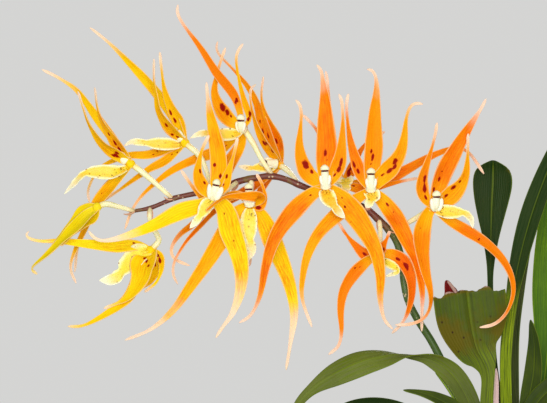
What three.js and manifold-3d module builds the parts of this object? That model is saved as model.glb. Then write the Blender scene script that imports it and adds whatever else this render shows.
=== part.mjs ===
// Brassia orchid in a clay pot: an arching flower spike with thirteen spidery flowers, strap leaves on
// flattened pseudobulbs, and a pot filled with bark. Millimetres, +Z up, origin at the middle of the pot's
// base. +X is to the right and -Y is the side that the flowers face.
import * as THREE from "three";
import { mergeVertices } from "three/addons/utils/BufferGeometryUtils.js";
import Module from "manifold-3d";

const wasm = await Module();
wasm.setup();

// Pot: a tapered body under a thick straight rim, with drain holes through its floor
const POT_HEIGHT = 112;
const POT_BASE_RADIUS = 44;
const POT_BODY_TOP_RADIUS = 56;
const POT_RIM_RADIUS = 61.5;
const POT_RIM_FLARE = 1;
const POT_RIM_HEIGHT = 21;
const POT_WALL = 5;
const POT_FLOOR = 7;
const POT_EDGE = 1.5;
const POT_LIP_EDGE = 2;
const POT_SIDES = 32;
const DRAIN_COUNT = 3;
const DRAIN_RADIUS = 5;
const DRAIN_CIRCLE = 24;
const DRAIN_SIDES = 12;

// Bark: a bed with loose chips on top of it
const BARK_TOP = 98;
const CHIP_COUNT = 25;
const CHIP_SIZE = [21, 13, 9];
const CHIP_SMALLEST = 0.7;
const CHIP_SPREAD = 0.5;
const CHIP_TILT = 0.7;
const CHIP_LIFT = 1.5;
const CHIP_REACH = 42;
const CHIP_SEED = 11;
const GOLDEN_ANGLE = Math.PI * (3 - Math.sqrt(5));

// Clearances: between pieces that touch, and round what stands in a hole in the bark
const GAP = 0.35;
const HOLE_GAP = 0.5;

// Tepals: the sepals and petals, which meet at the flower's hub
const TEPAL_THICKNESS = 1.0;
const TEPAL_CHANNEL = 0.13;
const TEPAL_ROOT_SHARE = 0.45;
const TIP_WIDTH = 1.5;
const HUB_RADII = [2.7, 2.16, 2.7];
const ROUND_SIDES = 6;
const ROUND_RINGS = 4;

// Lips and their columns
const LIP_STEPS = 6;
const LIP_THICKNESS = 1.1;
const LIP_CHANNEL = 0.1;
const LIP_BODY = { from: -0.083, to: 0.67, power: 0.7, share: 1 };
const LIP_APRON = { from: 0.43, to: 1, power: 0.8, share: 0.56 };
const COLUMN_RADII = [2.3, 1.9, 1.3];
const COLUMN_SIDES = 5;
const CAP_RADII = [2.1, 1.8, 1.8];
const KEEL_RADII = [1.6, 0.9];
const KEEL_SIDES = 4;

// Stems
const PEDICEL_RADIUS = 1.3;
const PEDICEL_SIDES = 5;
const PEDICEL_STEPS = 4;
const SPIKE_SIDES = 6;
const SPIKE_STEPS = 52;
const BRACT_LENGTH = 6;
const BRACT_DROP = 2.8;
const BRACT_WIDTHS = [2.6, 2.4, 0.8];
const BRACT_THICKNESS = 0.8;

// Pseudobulbs and leaves
const BULB_FLATNESS = 0.58;
const BULB_NECK_SHARE = 0.22;
const BULB_FULLNESS = 0.6;
const BULB_LOWNESS = 0.9;
const BULB_SIDES = 12;
const BULB_STEPS = 9;
const LEAF_THICKNESS = 1.3;
const LEAF_CHANNEL = 0.1;

// Curves are measured in this many pieces for each step, and points closer than the weld distance are one
const FINE_PER_STEP = 12;
const WELD_DISTANCE = 1e-4;

const FINISHES = {
  orange: { color: 0xf08a12, roughness: 0.55 },
  amber: { color: 0xf2a41c, roughness: 0.55 },
  yellow: { color: 0xe3b52a, roughness: 0.55 },
  lime: { color: 0xc9b832, roughness: 0.55 },
  cream: { color: 0xf3e8a0, roughness: 0.45 },
  stalk: { color: 0xe4e3a4, roughness: 0.45 },
  spike: { color: 0x6d4a3a, roughness: 0.5 },
  leaf: { color: 0x4c6b1f, roughness: 0.5 },
  paleLeaf: { color: 0x8aa32a, roughness: 0.5 },
  bulb: { color: 0x6f8438, roughness: 0.5 },
  dry: { color: 0xb08d7c, roughness: 0.8 },
  bark: { color: 0x5b3d28, roughness: 0.9 },
  clay: { color: 0xb5653f, roughness: 0.8 },
};

const UP = new THREE.Vector3(0, 0, 1);
const BACK = new THREE.Vector3(0, 1, 0);

const model = new THREE.Group();

// ---------------------------------------------------------------- solids

function vector(point) {
  return new THREE.Vector3(point[0], point[1], point[2]);
}

// Rows of numbers read as one smooth curve: every column is joined by a Catmull-Rom spline.
function sampleRoute(rows, t) {
  const last = rows.length - 1;
  const place = Math.min(t * last, last - 1e-9);
  const i = Math.floor(place);
  const u = place - i;
  const before = rows[i - 1] ?? rows[i].map((value, k) => 2 * value - rows[i + 1][k]);
  const after = rows[i + 2] ?? rows[i + 1].map((value, k) => 2 * value - rows[i][k]);
  return rows[i].map((b, k) => {
    const a = before[k];
    const c = rows[i + 1][k];
    const d = after[k];
    const bend = (2 * a - 5 * b + 4 * c - d) * u ** 2;
    const twist = (3 * b - a - 3 * c + d) * u ** 3;
    return 0.5 * (2 * b + (c - a) * u + bend + twist);
  });
}

// Stations along a route, evenly spaced by length, with the tangent at each.
function stations(rows, steps) {
  const fineSteps = FINE_PER_STEP * steps;
  const fine = Array.from({ length: fineSteps + 1 }, (_, i) => sampleRoute(rows, i / fineSteps));
  const reach = [0];
  for (let i = 1; i <= fineSteps; i++) {
    reach.push(reach[i - 1] + vector(fine[i]).distanceTo(vector(fine[i - 1])));
  }
  const spots = [];
  let j = 0;
  for (let step = 0; step <= steps; step++) {
    const target = (reach[fineSteps] * step) / steps;
    while (j < fineSteps - 1 && reach[j + 1] < target) j++;
    const part = (target - reach[j]) / (reach[j + 1] - reach[j]);
    const row = fine[j].map((value, k) => value + (fine[j + 1][k] - value) * part);
    const tangent = vector(fine[j + 1]).sub(vector(fine[j])).normalize();
    spots.push({ s: step / steps, point: vector(row), extra: row.slice(3), tangent });
  }
  return spots;
}

// A closed skin through rings of points. The quads of both faces of a blade are split alike.
function skin(rings) {
  const sides = rings[0].length;
  const positions = rings.flat().flatMap((p) => [p.x, p.y, p.z]);
  const indices = [];
  for (let ring = 0; ring + 1 < rings.length; ring++) {
    for (let side = 0; side < sides; side++) {
      const a = ring * sides + side;
      const b = ring * sides + ((side + 1) % sides);
      const c = a + sides;
      const d = b + sides;
      if (side < sides / 2) indices.push(a, b, c, b, d, c);
      else indices.push(a, b, d, a, d, c);
    }
  }
  const end = (rings.length - 1) * sides;
  for (let side = 1; side + 1 < sides; side++) {
    indices.push(0, side + 1, side);
    indices.push(end, end + side, end + side + 1);
  }
  const geometry = new THREE.BufferGeometry();
  geometry.setAttribute("position", new THREE.Float32BufferAttribute(positions, 3));
  geometry.setIndex(indices);
  return solid(geometry);
}

function signedVolume(positions, indices) {
  let total = 0;
  const [a, b, c] = [new THREE.Vector3(), new THREE.Vector3(), new THREE.Vector3()];
  for (let i = 0; i < indices.length; i += 3) {
    a.fromArray(positions, 3 * indices[i]);
    b.fromArray(positions, 3 * indices[i + 1]);
    c.fromArray(positions, 3 * indices[i + 2]);
    total += a.dot(b.cross(c));
  }
  return total;
}

// A closed geometry as a solid, turned so that its faces point out.
function solid(geometry) {
  const bare = geometry.clone();
  bare.deleteAttribute("normal");
  bare.deleteAttribute("uv");
  const merged = mergeVertices(bare, WELD_DISTANCE);
  const positions = new Float32Array(merged.attributes.position.array);
  const indices = new Uint32Array(merged.index.array);
  if (signedVolume(positions, indices) < 0) {
    for (let i = 0; i < indices.length; i += 3) {
      [indices[i], indices[i + 1]] = [indices[i + 1], indices[i]];
    }
  }
  return new wasm.Manifold(new wasm.Mesh({ numProp: 3, vertProperties: positions, triVerts: indices }));
}

function join(solids) {
  return solids.reduce((whole, piece) => whole.add(piece));
}

// The largest body of a solid, without the loose scraps that a cut can leave.
function mainBody(piece) {
  const bodies = piece.decompose();
  return bodies.reduce((best, body) => (body.volume() > best.volume() ? body : best));
}

// A piece seated on its neighbour: cut by it and by copies of it that are moved a little towards the piece.
function seat(piece, neighbour, towards) {
  const way = towards.clone().setLength(GAP);
  const half = way.clone().multiplyScalar(0.5);
  const moved = [half, way].map((step) => neighbour.translate(step.toArray()));
  return mainBody(piece.subtract(join([neighbour, ...moved])));
}

function addPiece(name, piece, finish) {
  const mesh = piece.getMesh();
  const geometry = new THREE.BufferGeometry();
  geometry.setAttribute("position", new THREE.Float32BufferAttribute(mesh.vertProperties, mesh.numProp));
  geometry.setIndex(Array.from(mesh.triVerts));
  geometry.computeVertexNormals();
  const material = new THREE.MeshStandardMaterial({ ...FINISHES[finish], metalness: 0 });
  const part = new THREE.Mesh(geometry, material);
  part.name = name;
  model.add(part);
}

// ---------------------------------------------------------------- swept shapes

// The two directions across a route: out of the face, and along the width. A turn rolls them round the route.
function across(tangent, face, turn = 0) {
  const out = face.clone().addScaledVector(tangent, -face.dot(tangent)).normalize();
  out.applyAxisAngle(tangent, -THREE.MathUtils.degToRad(turn));
  const side = new THREE.Vector3().crossVectors(tangent, out);
  return { out, side };
}

// One four-cornered ring of a thin blade, its middle sunk below its edges.
function bladeRing(spot, face, width, thickness, channel, turn = 0) {
  const { out, side } = across(spot.tangent, face, turn);
  const dip = -channel * width;
  const corner = (along, up) => spot.point.clone().addScaledVector(side, along).addScaledVector(out, up);
  return [
    corner(width / 2, 0),
    corner(0, dip + thickness / 2),
    corner(-width / 2, 0),
    corner(0, dip - thickness / 2),
  ];
}

// A round stem. Each row of its route is x, y, z and radius.
function stem(rows, sides, steps) {
  const reference = new THREE.Vector3(0.1, 1, 0.05).normalize();
  const rings = stations(rows, steps).map((spot) => {
    const { out, side } = across(spot.tangent, reference);
    return Array.from({ length: sides }, (_, i) => {
      const angle = (2 * Math.PI * i) / sides;
      return spot.point.clone()
        .addScaledVector(out, Math.cos(angle) * spot.extra[0])
        .addScaledVector(side, Math.sin(angle) * spot.extra[0]);
    });
  });
  return skin(rings);
}

function ellipsoid(centre, radii) {
  const geometry = new THREE.SphereGeometry(1, ROUND_SIDES, ROUND_RINGS);
  geometry.scale(radii[0], radii[1], radii[2]);
  geometry.translate(centre[0], centre[1], centre[2]);
  return solid(geometry);
}

// ---------------------------------------------------------------- flowers

// How the width runs along each kind of tepal: where it is widest, and how it then thins to a thread.
const TEPAL_KINDS = {
  dorsal: { widest: 0.3, power: 1.6, fall: 1.35, steps: 7 },
  petal: { widest: 0.27, power: 1, fall: 1.6, steps: 7 },
  lateral: { widest: 0.25, power: 1, fall: 1.05, steps: 8 },
  tailed: { widest: 0.24, power: 1, fall: 1.8, steps: 8 },
  hooked: { widest: 0.25, power: 1, fall: 1.05, steps: 18 },
};

function tepalWidth(kind, s, greatest) {
  const { widest, power, fall } = TEPAL_KINDS[kind];
  if (s < widest) {
    const rise = Math.sin((Math.PI / 2) * (s / widest));
    return greatest * THREE.MathUtils.lerp(TEPAL_ROOT_SHARE, 1, rise);
  }
  const u = (s - widest) / (1 - widest);
  return Math.max(TIP_WIDTH, greatest * (1 - u ** power) ** fall);
}

function tepal({ kind, width, route }, centre, face) {
  const rows = [[0, 0, 0], ...route].map((row) => row.map((value, k) => value + centre[k]));
  const rings = stations(rows, TEPAL_KINDS[kind].steps).map((spot) =>
    bladeRing(spot, face, tepalWidth(kind, spot.s, width), TEPAL_THICKNESS, TEPAL_CHANNEL));
  return skin(rings);
}

// A single rise and fall between two places along a length.
function swell(s, { from, to, power, share }) {
  const u = THREE.MathUtils.clamp((s - from) / (to - from), 0, 1);
  return share * Math.sin(Math.PI * u) ** power;
}

// The lip narrows behind its middle, like a fiddle, and ends in a point.
function lipWidth(s, greatest) {
  return Math.max(TIP_WIDTH, greatest * Math.max(swell(s, LIP_BODY), swell(s, LIP_APRON)));
}

function lip({ centre, face, lipWide, lipRoute, column }) {
  const place = (row) => row.map((value, k) => value + centre[k]);
  const rows = lipRoute.map(place);
  const rings = stations(rows, LIP_STEPS).map((spot) =>
    bladeRing(spot, face, lipWidth(spot.s, lipWide), LIP_THICKNESS, LIP_CHANNEL));
  const pieces = [skin(rings)];
  if (column) {
    const points = column.map(place);
    pieces.push(stem(points.map((point, i) => [...point, COLUMN_RADII[i]]), COLUMN_SIDES, 2));
    pieces.push(ellipsoid(points[2], CAP_RADII));
    const keel = [points[0], rows[1]].map((point, i) => [...point, KEEL_RADII[i]]);
    pieces.push(stem(keel, KEEL_SIDES, 1));
  }
  return join(pieces);
}

// Each flower: its centre, the way it faces, its pedicel from the rachis, five tepals and its lip. The tepal
// and lip points count from the centre.
const FLOWERS = [
  {
    name: "01", colour: "yellow", centre: [-187, -3, 368], face: [-0.72, -0.68, 0.1],
    pedicel: [[-166, 0, 350.5], [-175, -1, 358.5], [-182, -2, 364.5]],
    tepals: [
      {
        kind: "petal", width: 7.8,
        route: [[-13, -6, 8.5], [-20, -10, 18.5], [-23.5, -12, 28], [-26, -12, 36]],
      },
      {
        kind: "petal", width: 7.8,
        route: [[-7.5, 2, 9.5], [-13.5, 4, 19], [-17, 5, 28], [-18.5, 5, 38.5]],
      },
      {
        kind: "dorsal", width: 5.6,
        route: [[-10.3, 6, 14], [-19.6, 10, 26.3], [-27.2, 11, 36.7], [-36, 11, 42.9], [-45, 9, 47.5]],
      },
      {
        kind: "lateral", width: 7.8,
        route: [
          [-9.5, 0, -10], [-17, 2, -19], [-22.5, 3, -31], [-28, 3, -43], [-30.5, 4, -52],
          [-27.5, 5, -60],
        ],
      },
      {
        kind: "lateral", width: 6.7,
        route: [[-8, 5, -8], [-15.5, 9, -16], [-22, 12, -28], [-27, 14, -40], [-29, 15, -54.5]],
      },
    ],
    lipWide: 7.5,
    lipRoute: [
      [-2, -3.5, -2], [-8, -4.5, -4], [-18, -5, -4],
      [-23.5, -5, -5], [-28, -5, -9.5], [-33, -5, -15],
    ],
    column: [[-2.2, 0.6, 1.4], [-4.6, 1, 3.2], [-6.2, 1.3, 4.6]],
  },
  {
    name: "02", colour: "yellow", centre: [-160, 4, 378.5], face: [-0.72, -0.68, 0.1],
    pedicel: [[-146.5, 0, 355], [-150, 1, 366.5], [-153.5, 2, 373]],
    tepals: [
      {
        kind: "petal", width: 8.4,
        route: [[-7.5, -5, 6.5], [-13, -8, 15.5], [-14.5, -10, 24], [-15.5, -11, 32.5], [-15.5, -11, 42]],
      },
      {
        kind: "petal", width: 7.8,
        route: [[-3, 3, 9], [-7.5, 5, 18], [-10.5, 6, 26.5], [-12, 6, 36.5], [-13, 5, 46]],
      },
      {
        kind: "dorsal", width: 6.7,
        route: [
          [-7.1, 7, 15.2], [-18, 12, 29.2], [-28.8, 14, 40.8], [-38.5, 14, 50.5], [-48.5, 12, 58.5],
        ],
      },
      {
        kind: "lateral", width: 5,
        route: [
          [-17.5, 6, -5.5], [-28.5, 9, -6], [-37.5, 12, -9], [-43.5, 13, -12.5], [-47.5, 13, -18.5],
          [-49.5, 12, -24.5], [-48.5, 11, -30],
        ],
      },
      {
        kind: "lateral", width: 5.6,
        route: [[-10, 2, -8.5], [-17.5, 4, -12.5], [-25, 6, -17.5], [-33.5, 8, -23.5], [-42, 10, -29]],
      },
    ],
    lipWide: 6.5,
    lipRoute: [
      [-2.5, -3, -1], [-10, -5, -0.5], [-19, -6, 0],
      [-23, -6, 0.5], [-27, -6, 0.5], [-30.5, -5, -1.5],
    ],
    column: [[-1.6, 1, 1.8], [-3.4, 1.4, 4], [-4.6, 1.7, 5.6]],
  },
  {
    name: "03", colour: "amber", centre: [-131, 10, 386.5], face: [-0.4, -0.9, 0.1],
    pedicel: [[-116, 0, 362], [-121.5, 1, 370], [-126, 5, 378.5]],
    tepals: [
      {
        kind: "dorsal", width: 5,
        route: [
          [-4, 0, 15], [-13.5, -4, 27.5], [-21.5, -7, 40], [-30, -9, 51.5], [-33, -9, 57.5],
          [-32.5, -8, 61.5],
        ],
      },
      {
        kind: "petal", width: 8.4,
        route: [
          [-6, 0, 3], [-11.5, 4, 9.5], [-14.5, 7, 17.5], [-13.5, 9, 26], [-11.5, 9, 33.5],
          [-9, 8, 40.5],
        ],
      },
      {
        kind: "petal", width: 3.8,
        route: [
          [3, -1, 4.5], [0.5, -2, 13.5], [-2, -3, 23.5], [-3.5, -3, 33.5], [-2.5, -3, 38.5],
          [0, -4, 42],
        ],
      },
      {
        kind: "lateral", width: 6.2,
        route: [
          [-10.5, 2, -10.5], [-23, 3, -15.5], [-34, 1, -20.5], [-43, -1, -27], [-51.5, -3, -35],
          [-56.5, -4, -43], [-59.5, -3, -51.5],
        ],
      },
      {
        kind: "lateral", width: 7.8,
        route: [
          [-1.5, 2, -9], [-7.5, 3, -19], [-15.5, 2, -35.5], [-24, -1, -47.5], [-31.5, -4, -53.5],
          [-36, -6, -60.5], [-34.5, -6, -66], [-26.5, -4, -69.5],
        ],
      },
    ],
    lipWide: 6.5,
    lipRoute: [
      [-1, -4, -2], [-5, -6, -3.5], [-12, -7, -3.5],
      [-18, -6, -3], [-22.5, -5, -3.5], [-26.5, -4, -5.5],
    ],
    column: [[-0.5, -3.5, -0.5], [-1, -6, 1], [-1, -6.5, 3.5]],
  },
  {
    name: "04", colour: "orange", centre: [-112.5, 12, 367.5], face: [-0.7, -0.7, 0.1],
    pedicel: [[-103.5, 0, 358], [-106, 4, 362], [-109.5, 9, 365.5]],
    tepals: [
      {
        kind: "petal", width: 7.8,
        route: [
          [-6.5, -6, 8.5], [-11.5, -10, 18.5], [-14, -12, 27.5], [-15, -12, 34], [-14.5, -12, 38.5],
          [-12, -11, 40.5],
        ],
      },
      {
        kind: "petal", width: 9,
        route: [[-1, 4, 10], [-5, 6, 20], [-8.5, 7, 29], [-9.5, 7, 36.5], [-8.5, 6, 45]],
      },
      {
        kind: "petal", width: 8.6,
        route: [
          [-7.5, 7, 16.5], [-12.3, 12, 32.5], [-17.5, 15, 41.5], [-25, 16, 50], [-30.5, 15, 55.5],
          [-32.5, 14, 59.5], [-31.5, 12, 63],
        ],
      },
      {
        kind: "lateral", width: 5.6,
        route: [
          [-9, 2, -7.5], [-20, 1, -14.5], [-31, -2, -21.5], [-40, -8, -30.5], [-47.5, -11, -39],
          [-53, -12, -48.5], [-53.5, -11, -55.5], [-51, -9, -60],
        ],
      },
      {
        kind: "lateral", width: 5.6,
        route: [[-7.5, 6, -9], [-13, 8, -20], [-15, 8, -32.5], [-15, 7, -46.5], [-15.5, 6, -51]],
      },
    ],
    lipWide: 5.5,
    lipRoute: [[-2.5, -3, -1], [-9, -5, -1], [-15, -6, -1.5], [-18, -6, -1], [-21, -5, -0.5]],
    column: [[-2.5, -3, 0.5], [-5.5, -4.5, 1], [-7.5, -5.5, 1]],
  },
  {
    name: "05", colour: "amber", centre: [-145.5, -22, 351.5], face: [-0.12, -0.99, 0.05],
    pedicel: [[-134, 0, 359], [-137, -7, 356.5], [-142, -15, 353]],
    tepals: [
      {
        kind: "dorsal", width: 8.8,
        route: [
          [2.5, -1, 12.5], [2, -2, 23.5], [0, -2, 33.5], [-2, -1, 43.5], [-3, 1, 51],
          [-3.5, 3, 57],
        ],
      },
      {
        kind: "petal", width: 7.3,
        route: [[-5, -1, 4.5], [-7.5, -3, 11], [-7, -5, 17.5], [-5, -6, 24.5], [-2, -6, 30.5]],
      },
      {
        kind: "petal", width: 6.2,
        route: [[5, -1, 5.5], [7.5, -2, 12.5], [10, -2, 20.5], [12, 0, 29.5]],
      },
      {
        kind: "lateral", width: 9,
        route: [
          [-6, -1, -4], [-17, -3, -7.5], [-29.5, -4, -14], [-43, -4, -19.3], [-53, -2, -21.5],
          [-58.5, 0, -20.5], [-62, 2, -16.5],
        ],
      },
      {
        kind: "lateral", width: 11.8,
        route: [
          [6, -1, -6.5], [8.8, -2, -17.5], [12.4, -3, -27.5], [14, -3, -37.5], [13.1, -2, -47.5],
          [9.5, 0, -57.5], [4.5, 2, -64.5], [1, 4, -70],
        ],
      },
    ],
    lipWide: 7,
    lipRoute: [[-0.5, -3.5, -1], [-3, -7, -4], [-5.5, -9, -8], [-8.5, -10, -12], [-11.5, -9, -15.5]],
    column: [[0, -3.5, 0.5], [0.8, -6.5, 3], [1.5, -7, 6]],
  },
  {
    name: "06", colour: "amber", centre: [-127.5, -10, 347.5], face: [0, -0.96, -0.2],
    pedicel: [[-127, 0, 361], [-127, -2, 355], [-127.3, -6, 350.5]],
    tepals: [
      {
        kind: "dorsal", width: 5,
        route: [[-5, 1, 5], [-12.5, 2, 3.5], [-20, 3, 1.5], [-26.5, 3, 6.5], [-34.5, 4, 17.5]],
      },
      {
        kind: "petal", width: 6.4,
        route: [
          [4.6, -3.5, 2.4], [4.2, -9.2, 4], [-3, -11.2, 4.4], [-11, -14.5, 4.2], [-15.5, -19, 2],
          [-18.5, -22.5, -0.5], [-21.5, -25, -3],
        ],
      },
      {
        kind: "petal", width: 4.4,
        route: [[5, -1, -1], [7.4, -2, 4], [6.2, -3, 10], [3.2, -3, 15.5]],
      },
      {
        kind: "lateral", width: 9,
        route: [
          [-6.5, 0, -3.5], [-14, 0, -16.5], [-22, -1, -29.5], [-29.3, -2, -40.1], [-38.4, -2, -52.6],
          [-49.5, 0, -62], [-62.5, 4, -67.5],
        ],
      },
      {
        kind: "lateral", width: 10.1,
        route: [
          [6, 0, -6], [11, -1, -17.5], [16.5, -2, -30], [20.5, -2, -42.5], [22, -1, -55], [20, 1, -70],
          [18, 4, -82.5],
        ],
      },
    ],
    lipWide: 8.5,
    lipRoute: [[0, -3.5, -1.5], [-0.5, -6, -8.5], [0, -6, -16.5], [1, -4, -22.5], [-0.5, -2, -27.5]],
    column: [[0, -3.5, 0.5], [-0.3, -5.5, 4], [-0.5, -6, 8]],
  },
  {
    name: "07", colour: "orange", centre: [-90, -24, 356.5], face: [0, -1, 0.03],
    pedicel: [[-86, 0, 351.5], [-87, -8, 354], [-89, -17, 356]],
    tepals: [
      {
        kind: "dorsal", width: 10.6,
        route: [
          [0, -1, 11], [0.5, -2, 21], [0, -2, 32.5], [-0.5, -1, 43.5], [-1.5, 0, 53.5], [-2.5, 1, 58],
          [-4.5, 2, 60.5],
        ],
      },
      {
        kind: "petal", width: 8.4,
        route: [
          [-8, -1, 5.5], [-11.5, -2, 12], [-13, -3, 20], [-12.5, -4, 28.5], [-12, -3, 36],
          [-13, -2, 41], [-15, -1, 43],
        ],
      },
      {
        kind: "petal", width: 7.8,
        route: [[4.5, -1, 6.5], [7, -2, 13.5], [8, -3, 22], [8.5, -3, 32.5], [8, -2, 42], [6.5, -1, 46]],
      },
      {
        kind: "lateral", width: 9.3,
        route: [
          [-7, -1, -3.8], [-14.2, -2, -10.4], [-21.4, -2, -18.9], [-26.4, -2, -28.3], [-29.9, -2, -40.6],
          [-32.5, 0, -54], [-37, 2, -63.5], [-43, 4, -67.5],
        ],
      },
      {
        kind: "lateral", width: 11.2,
        route: [
          [7.5, -1, -5.5], [14.5, -2, -13.5], [20.5, -3, -23], [25, -3, -32.5], [27, -3, -44],
          [27, -1, -55.5], [29, 1, -65.5], [33.5, 3, -70.5],
        ],
      },
    ],
    lipWide: 8,
    lipRoute: [[0, -3.5, -1], [0.5, -7, -4], [3, -9, -8], [6.5, -9, -12.5], [9.5, -8, -15.5]],
    column: [[0, -3.5, 0.5], [-0.3, -6, 4], [-0.5, -6.5, 8]],
  },
  {
    name: "08", colour: "orange", centre: [-67.5, -14, 355], face: [0.08, -0.99, 0.03],
    pedicel: [[-69, 0, 345.5], [-68.5, -4, 350], [-68, -9, 353.5]],
    tepals: [
      {
        kind: "dorsal", width: 9.6,
        route: [
          [0.5, -1, 11], [1.5, -2, 20], [1.7, -2, 29], [2.2, -1, 40], [3, 0, 50], [2.5, 1, 56.5],
          [0.5, 1, 59.7], [-2, 2, 60],
        ],
      },
      {
        kind: "petal", width: 6.7,
        route: [
          [-4.5, -1, 7], [-7.5, -2, 15], [-10, -2, 24], [-11.5, -2, 34], [-12, -1, 42.5], [-11, 0, 48],
        ],
      },
      {
        kind: "petal", width: 9.5,
        route: [
          [5, -1, 6], [10, -2, 11], [14.5, -3, 18], [16.5, -4, 26], [17.5, -4, 35], [19.5, -3, 41],
          [22.5, -2, 43], [26, -1, 42.5],
        ],
      },
      {
        kind: "lateral", width: 7.8,
        route: [
          [-9, 1, -6], [-17.5, 1, -13], [-25, 1, -20.5], [-30.5, 1, -30], [-33.5, 1, -41.5],
          [-34, 2, -54], [-29, 4, -68.5],
        ],
      },
      {
        kind: "lateral", width: 9.3,
        route: [
          [6.5, -1, -6], [13, -2, -15], [18, -3, -25], [23, -3, -36], [25.5, -2, -50], [25.5, 0, -61],
          [25.5, 2, -70.5],
        ],
      },
    ],
    lipWide: 8.5,
    lipRoute: [[0, -3.5, -1], [0.5, -6, -2.5], [-0.5, -8, -5.5], [-2.5, -8.5, -9]],
    column: [[0, -3.5, 0.5], [0, -6, 4], [0, -6.5, 8]],
  },
  {
    name: "09", colour: "orange", centre: [-36.5, -15, 346.5], face: [0.4, -0.91, 0.1],
    pedicel: [[-58, 0, 335], [-51, -3, 337.5], [-43, -8, 342]],
    tepals: [
      {
        kind: "dorsal", width: 9.5,
        route: [
          [2.7, 0, 10], [6.1, 1, 18.5], [10.8, 3, 27.3], [15.9, 4, 36.2], [20.7, 4, 43.8], [24.3, 3, 49.5],
          [26.5, 2, 54],
        ],
      },
      {
        kind: "petal", width: 7.3,
        route: [
          [-4.5, -2, 5.5], [-5.5, -3, 12.5], [-3.5, -3, 20.5], [-1, -3, 28.5], [1, -2, 36],
          [2, -1, 42],
        ],
      },
      {
        kind: "petal", width: 9.8,
        route: [[6, 1, 3.5], [12.2, 2, 8.7], [16.2, 2, 16], [17.2, 1, 26], [17.4, -1, 36.5]],
      },
      {
        kind: "tailed", width: 9.8,
        route: [
          [-3, -1, -4], [-5.5, -2, -12.5], [-5.5, -3, -21.5], [-4, -4, -31.5], [-1.5, -4, -41.5],
          [-1.5, -3, -49], [-4.5, -2, -55], [-11, -1, -58], [-19, 1, -58.5],
        ],
      },
      {
        kind: "lateral", width: 6.2,
        route: [
          [7, 1, -6], [15.5, 2, -11], [26, 2, -17.5], [34.5, 1, -26], [39, -1, -35], [39.5, -3, -43.5],
          [36, -5, -52.5], [30, -6, -58], [22.5, -7, -59.5],
        ],
      },
    ],
    lipWide: 7,
    lipRoute: [
      [1, -3, -1.5], [4, -4.5, -2], [10, -5, -2.5],
      [15.5, -5, -3], [18.5, -5, -6], [19.5, -5, -10.5],
    ],
    column: [[0.8, -3.2, 0.5], [1.2, -5.5, 2], [1.3, -6, 5.2]],
  },
  {
    name: "10", colour: "orange", centre: [-63.5, -8, 322.5], face: [0.2, -0.95, -0.2],
    pedicel: [[-63, 0, 340.8], [-62.5, -4, 335], [-63, -7, 327.5]],
    tepals: [
      {
        kind: "lateral", width: 6.7,
        route: [
          [-6, 0, -3.2], [-12.7, 0, -10], [-17.4, 0, -18.3], [-18.8, 0, -27.5], [-18.4, -1, -37.5],
          [-19.9, -2, -45], [-25, -3, -49.5],
        ],
      },
      {
        kind: "lateral", width: 7.3,
        route: [
          [6, 0, 0.5], [12.2, 0, -3], [15.9, 0, -10.3], [16.6, -1, -19.3], [14.7, -2, -28], [11.5, -3, -34],
          [6.5, -4, -39],
        ],
      },
      {
        kind: "petal", width: 6.2,
        route: [[-6, 1, 0], [-12, 1, 5.5], [-16.5, 0, 11], [-20, -2, 16.5]],
      },
      { kind: "petal", width: 5.6, route: [[2, -2, 4.5], [4, -3, 8], [5.5, -4, 12]] },
      { kind: "dorsal", width: 5.6, route: [[-3, 5, 8], [-7, 10, 16], [-9, 13, 24], [-9, 13, 31]] },
    ],
    lipWide: 4.5,
    lipRoute: [
      [1.5, -3.5, -2], [4, -5, -3.5], [8, -7, -5.8],
      [9.5, -9, -8], [6.5, -10, -9.3], [3, -10, -10.5],
    ],
    column: [[0.5, -3.2, -0.5], [0.5, -5.5, -0.5], [0.5, -6.5, -1]],
  },
  {
    name: "11", colour: "orange", centre: [-81, 14, 358], face: [0.1, -0.99, 0.1],
    pedicel: [[-80, 0, 350], [-80.3, 5, 352], [-81, 10, 355.5]],
    tepals: [
      {
        kind: "dorsal", width: 5,
        route: [[-4, 1, 14], [-7, 1, 27], [-7, 0, 42], [-7.5, -1, 51], [-8.5, -2, 57]],
      },
      {
        kind: "petal", width: 5,
        route: [[-4.5, -1, 10], [-9.5, -3, 20], [-14, -4, 28.5], [-20, -3, 35]],
      },
      {
        kind: "petal", width: 5.6,
        route: [[4.5, 0, 7], [8.5, 0, 16], [14.5, 1, 23], [21.5, 0, 26.5]],
      },
      {
        kind: "lateral", width: 6.7,
        route: [
          [11, 2, 0], [21, 2, 1.5], [33.5, 1, 8], [44.5, 0, 14], [56, 0, 18], [63.5, 0, 16],
          [71.5, 2, 5],
        ],
      },
      {
        kind: "lateral", width: 5.6,
        route: [[11, -1, -2.5], [21, -2, -0.5], [30, -2, 1.5], [38, -1, 3]],
      },
    ],
    lipWide: 9.4,
    lipRoute: [[0.2, -3.5, 3], [1, -7, 1.3], [1.5, -9.5, -1.2], [1.6, -11, -4.6]],
    column: [[-1, -3.4, 1.2], [-3.4, -4.6, 3], [-5.4, -5.4, 4.8]],
  },
  {
    name: "12", colour: "lime", centre: [-203.5, -10, 346.5], face: [-0.45, -0.75, 0.5],
    pedicel: [[-185.5, 0, 344.5], [-192.5, -4, 346.5], [-199, -8, 348]],
    tepals: [
      {
        kind: "lateral", width: 9.4,
        route: [
          [-5, -2, -3.5], [-11, -4, -9.5], [-18, -5, -16.5], [-25, -5, -23.5], [-31, -4, -28.5],
          [-32.5, -3, -31], [-29.5, -1, -33.5],
        ],
      },
      {
        kind: "petal", width: 9,
        route: [[-6, 2, -1.5], [-12, 2, -7], [-18, 1, -13.5], [-23, 0, -19.5]],
      },
      {
        kind: "petal", width: 6.8,
        route: [[-1.8, -1, -4.6], [-7, -2, -9], [-13, -2, -14.3], [-18, -2, -19.3]],
      },
    ],
  },
  {
    name: "13", colour: "yellow", centre: [-177, -8, 325], face: [-0.5, -0.85, 0.1],
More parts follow.
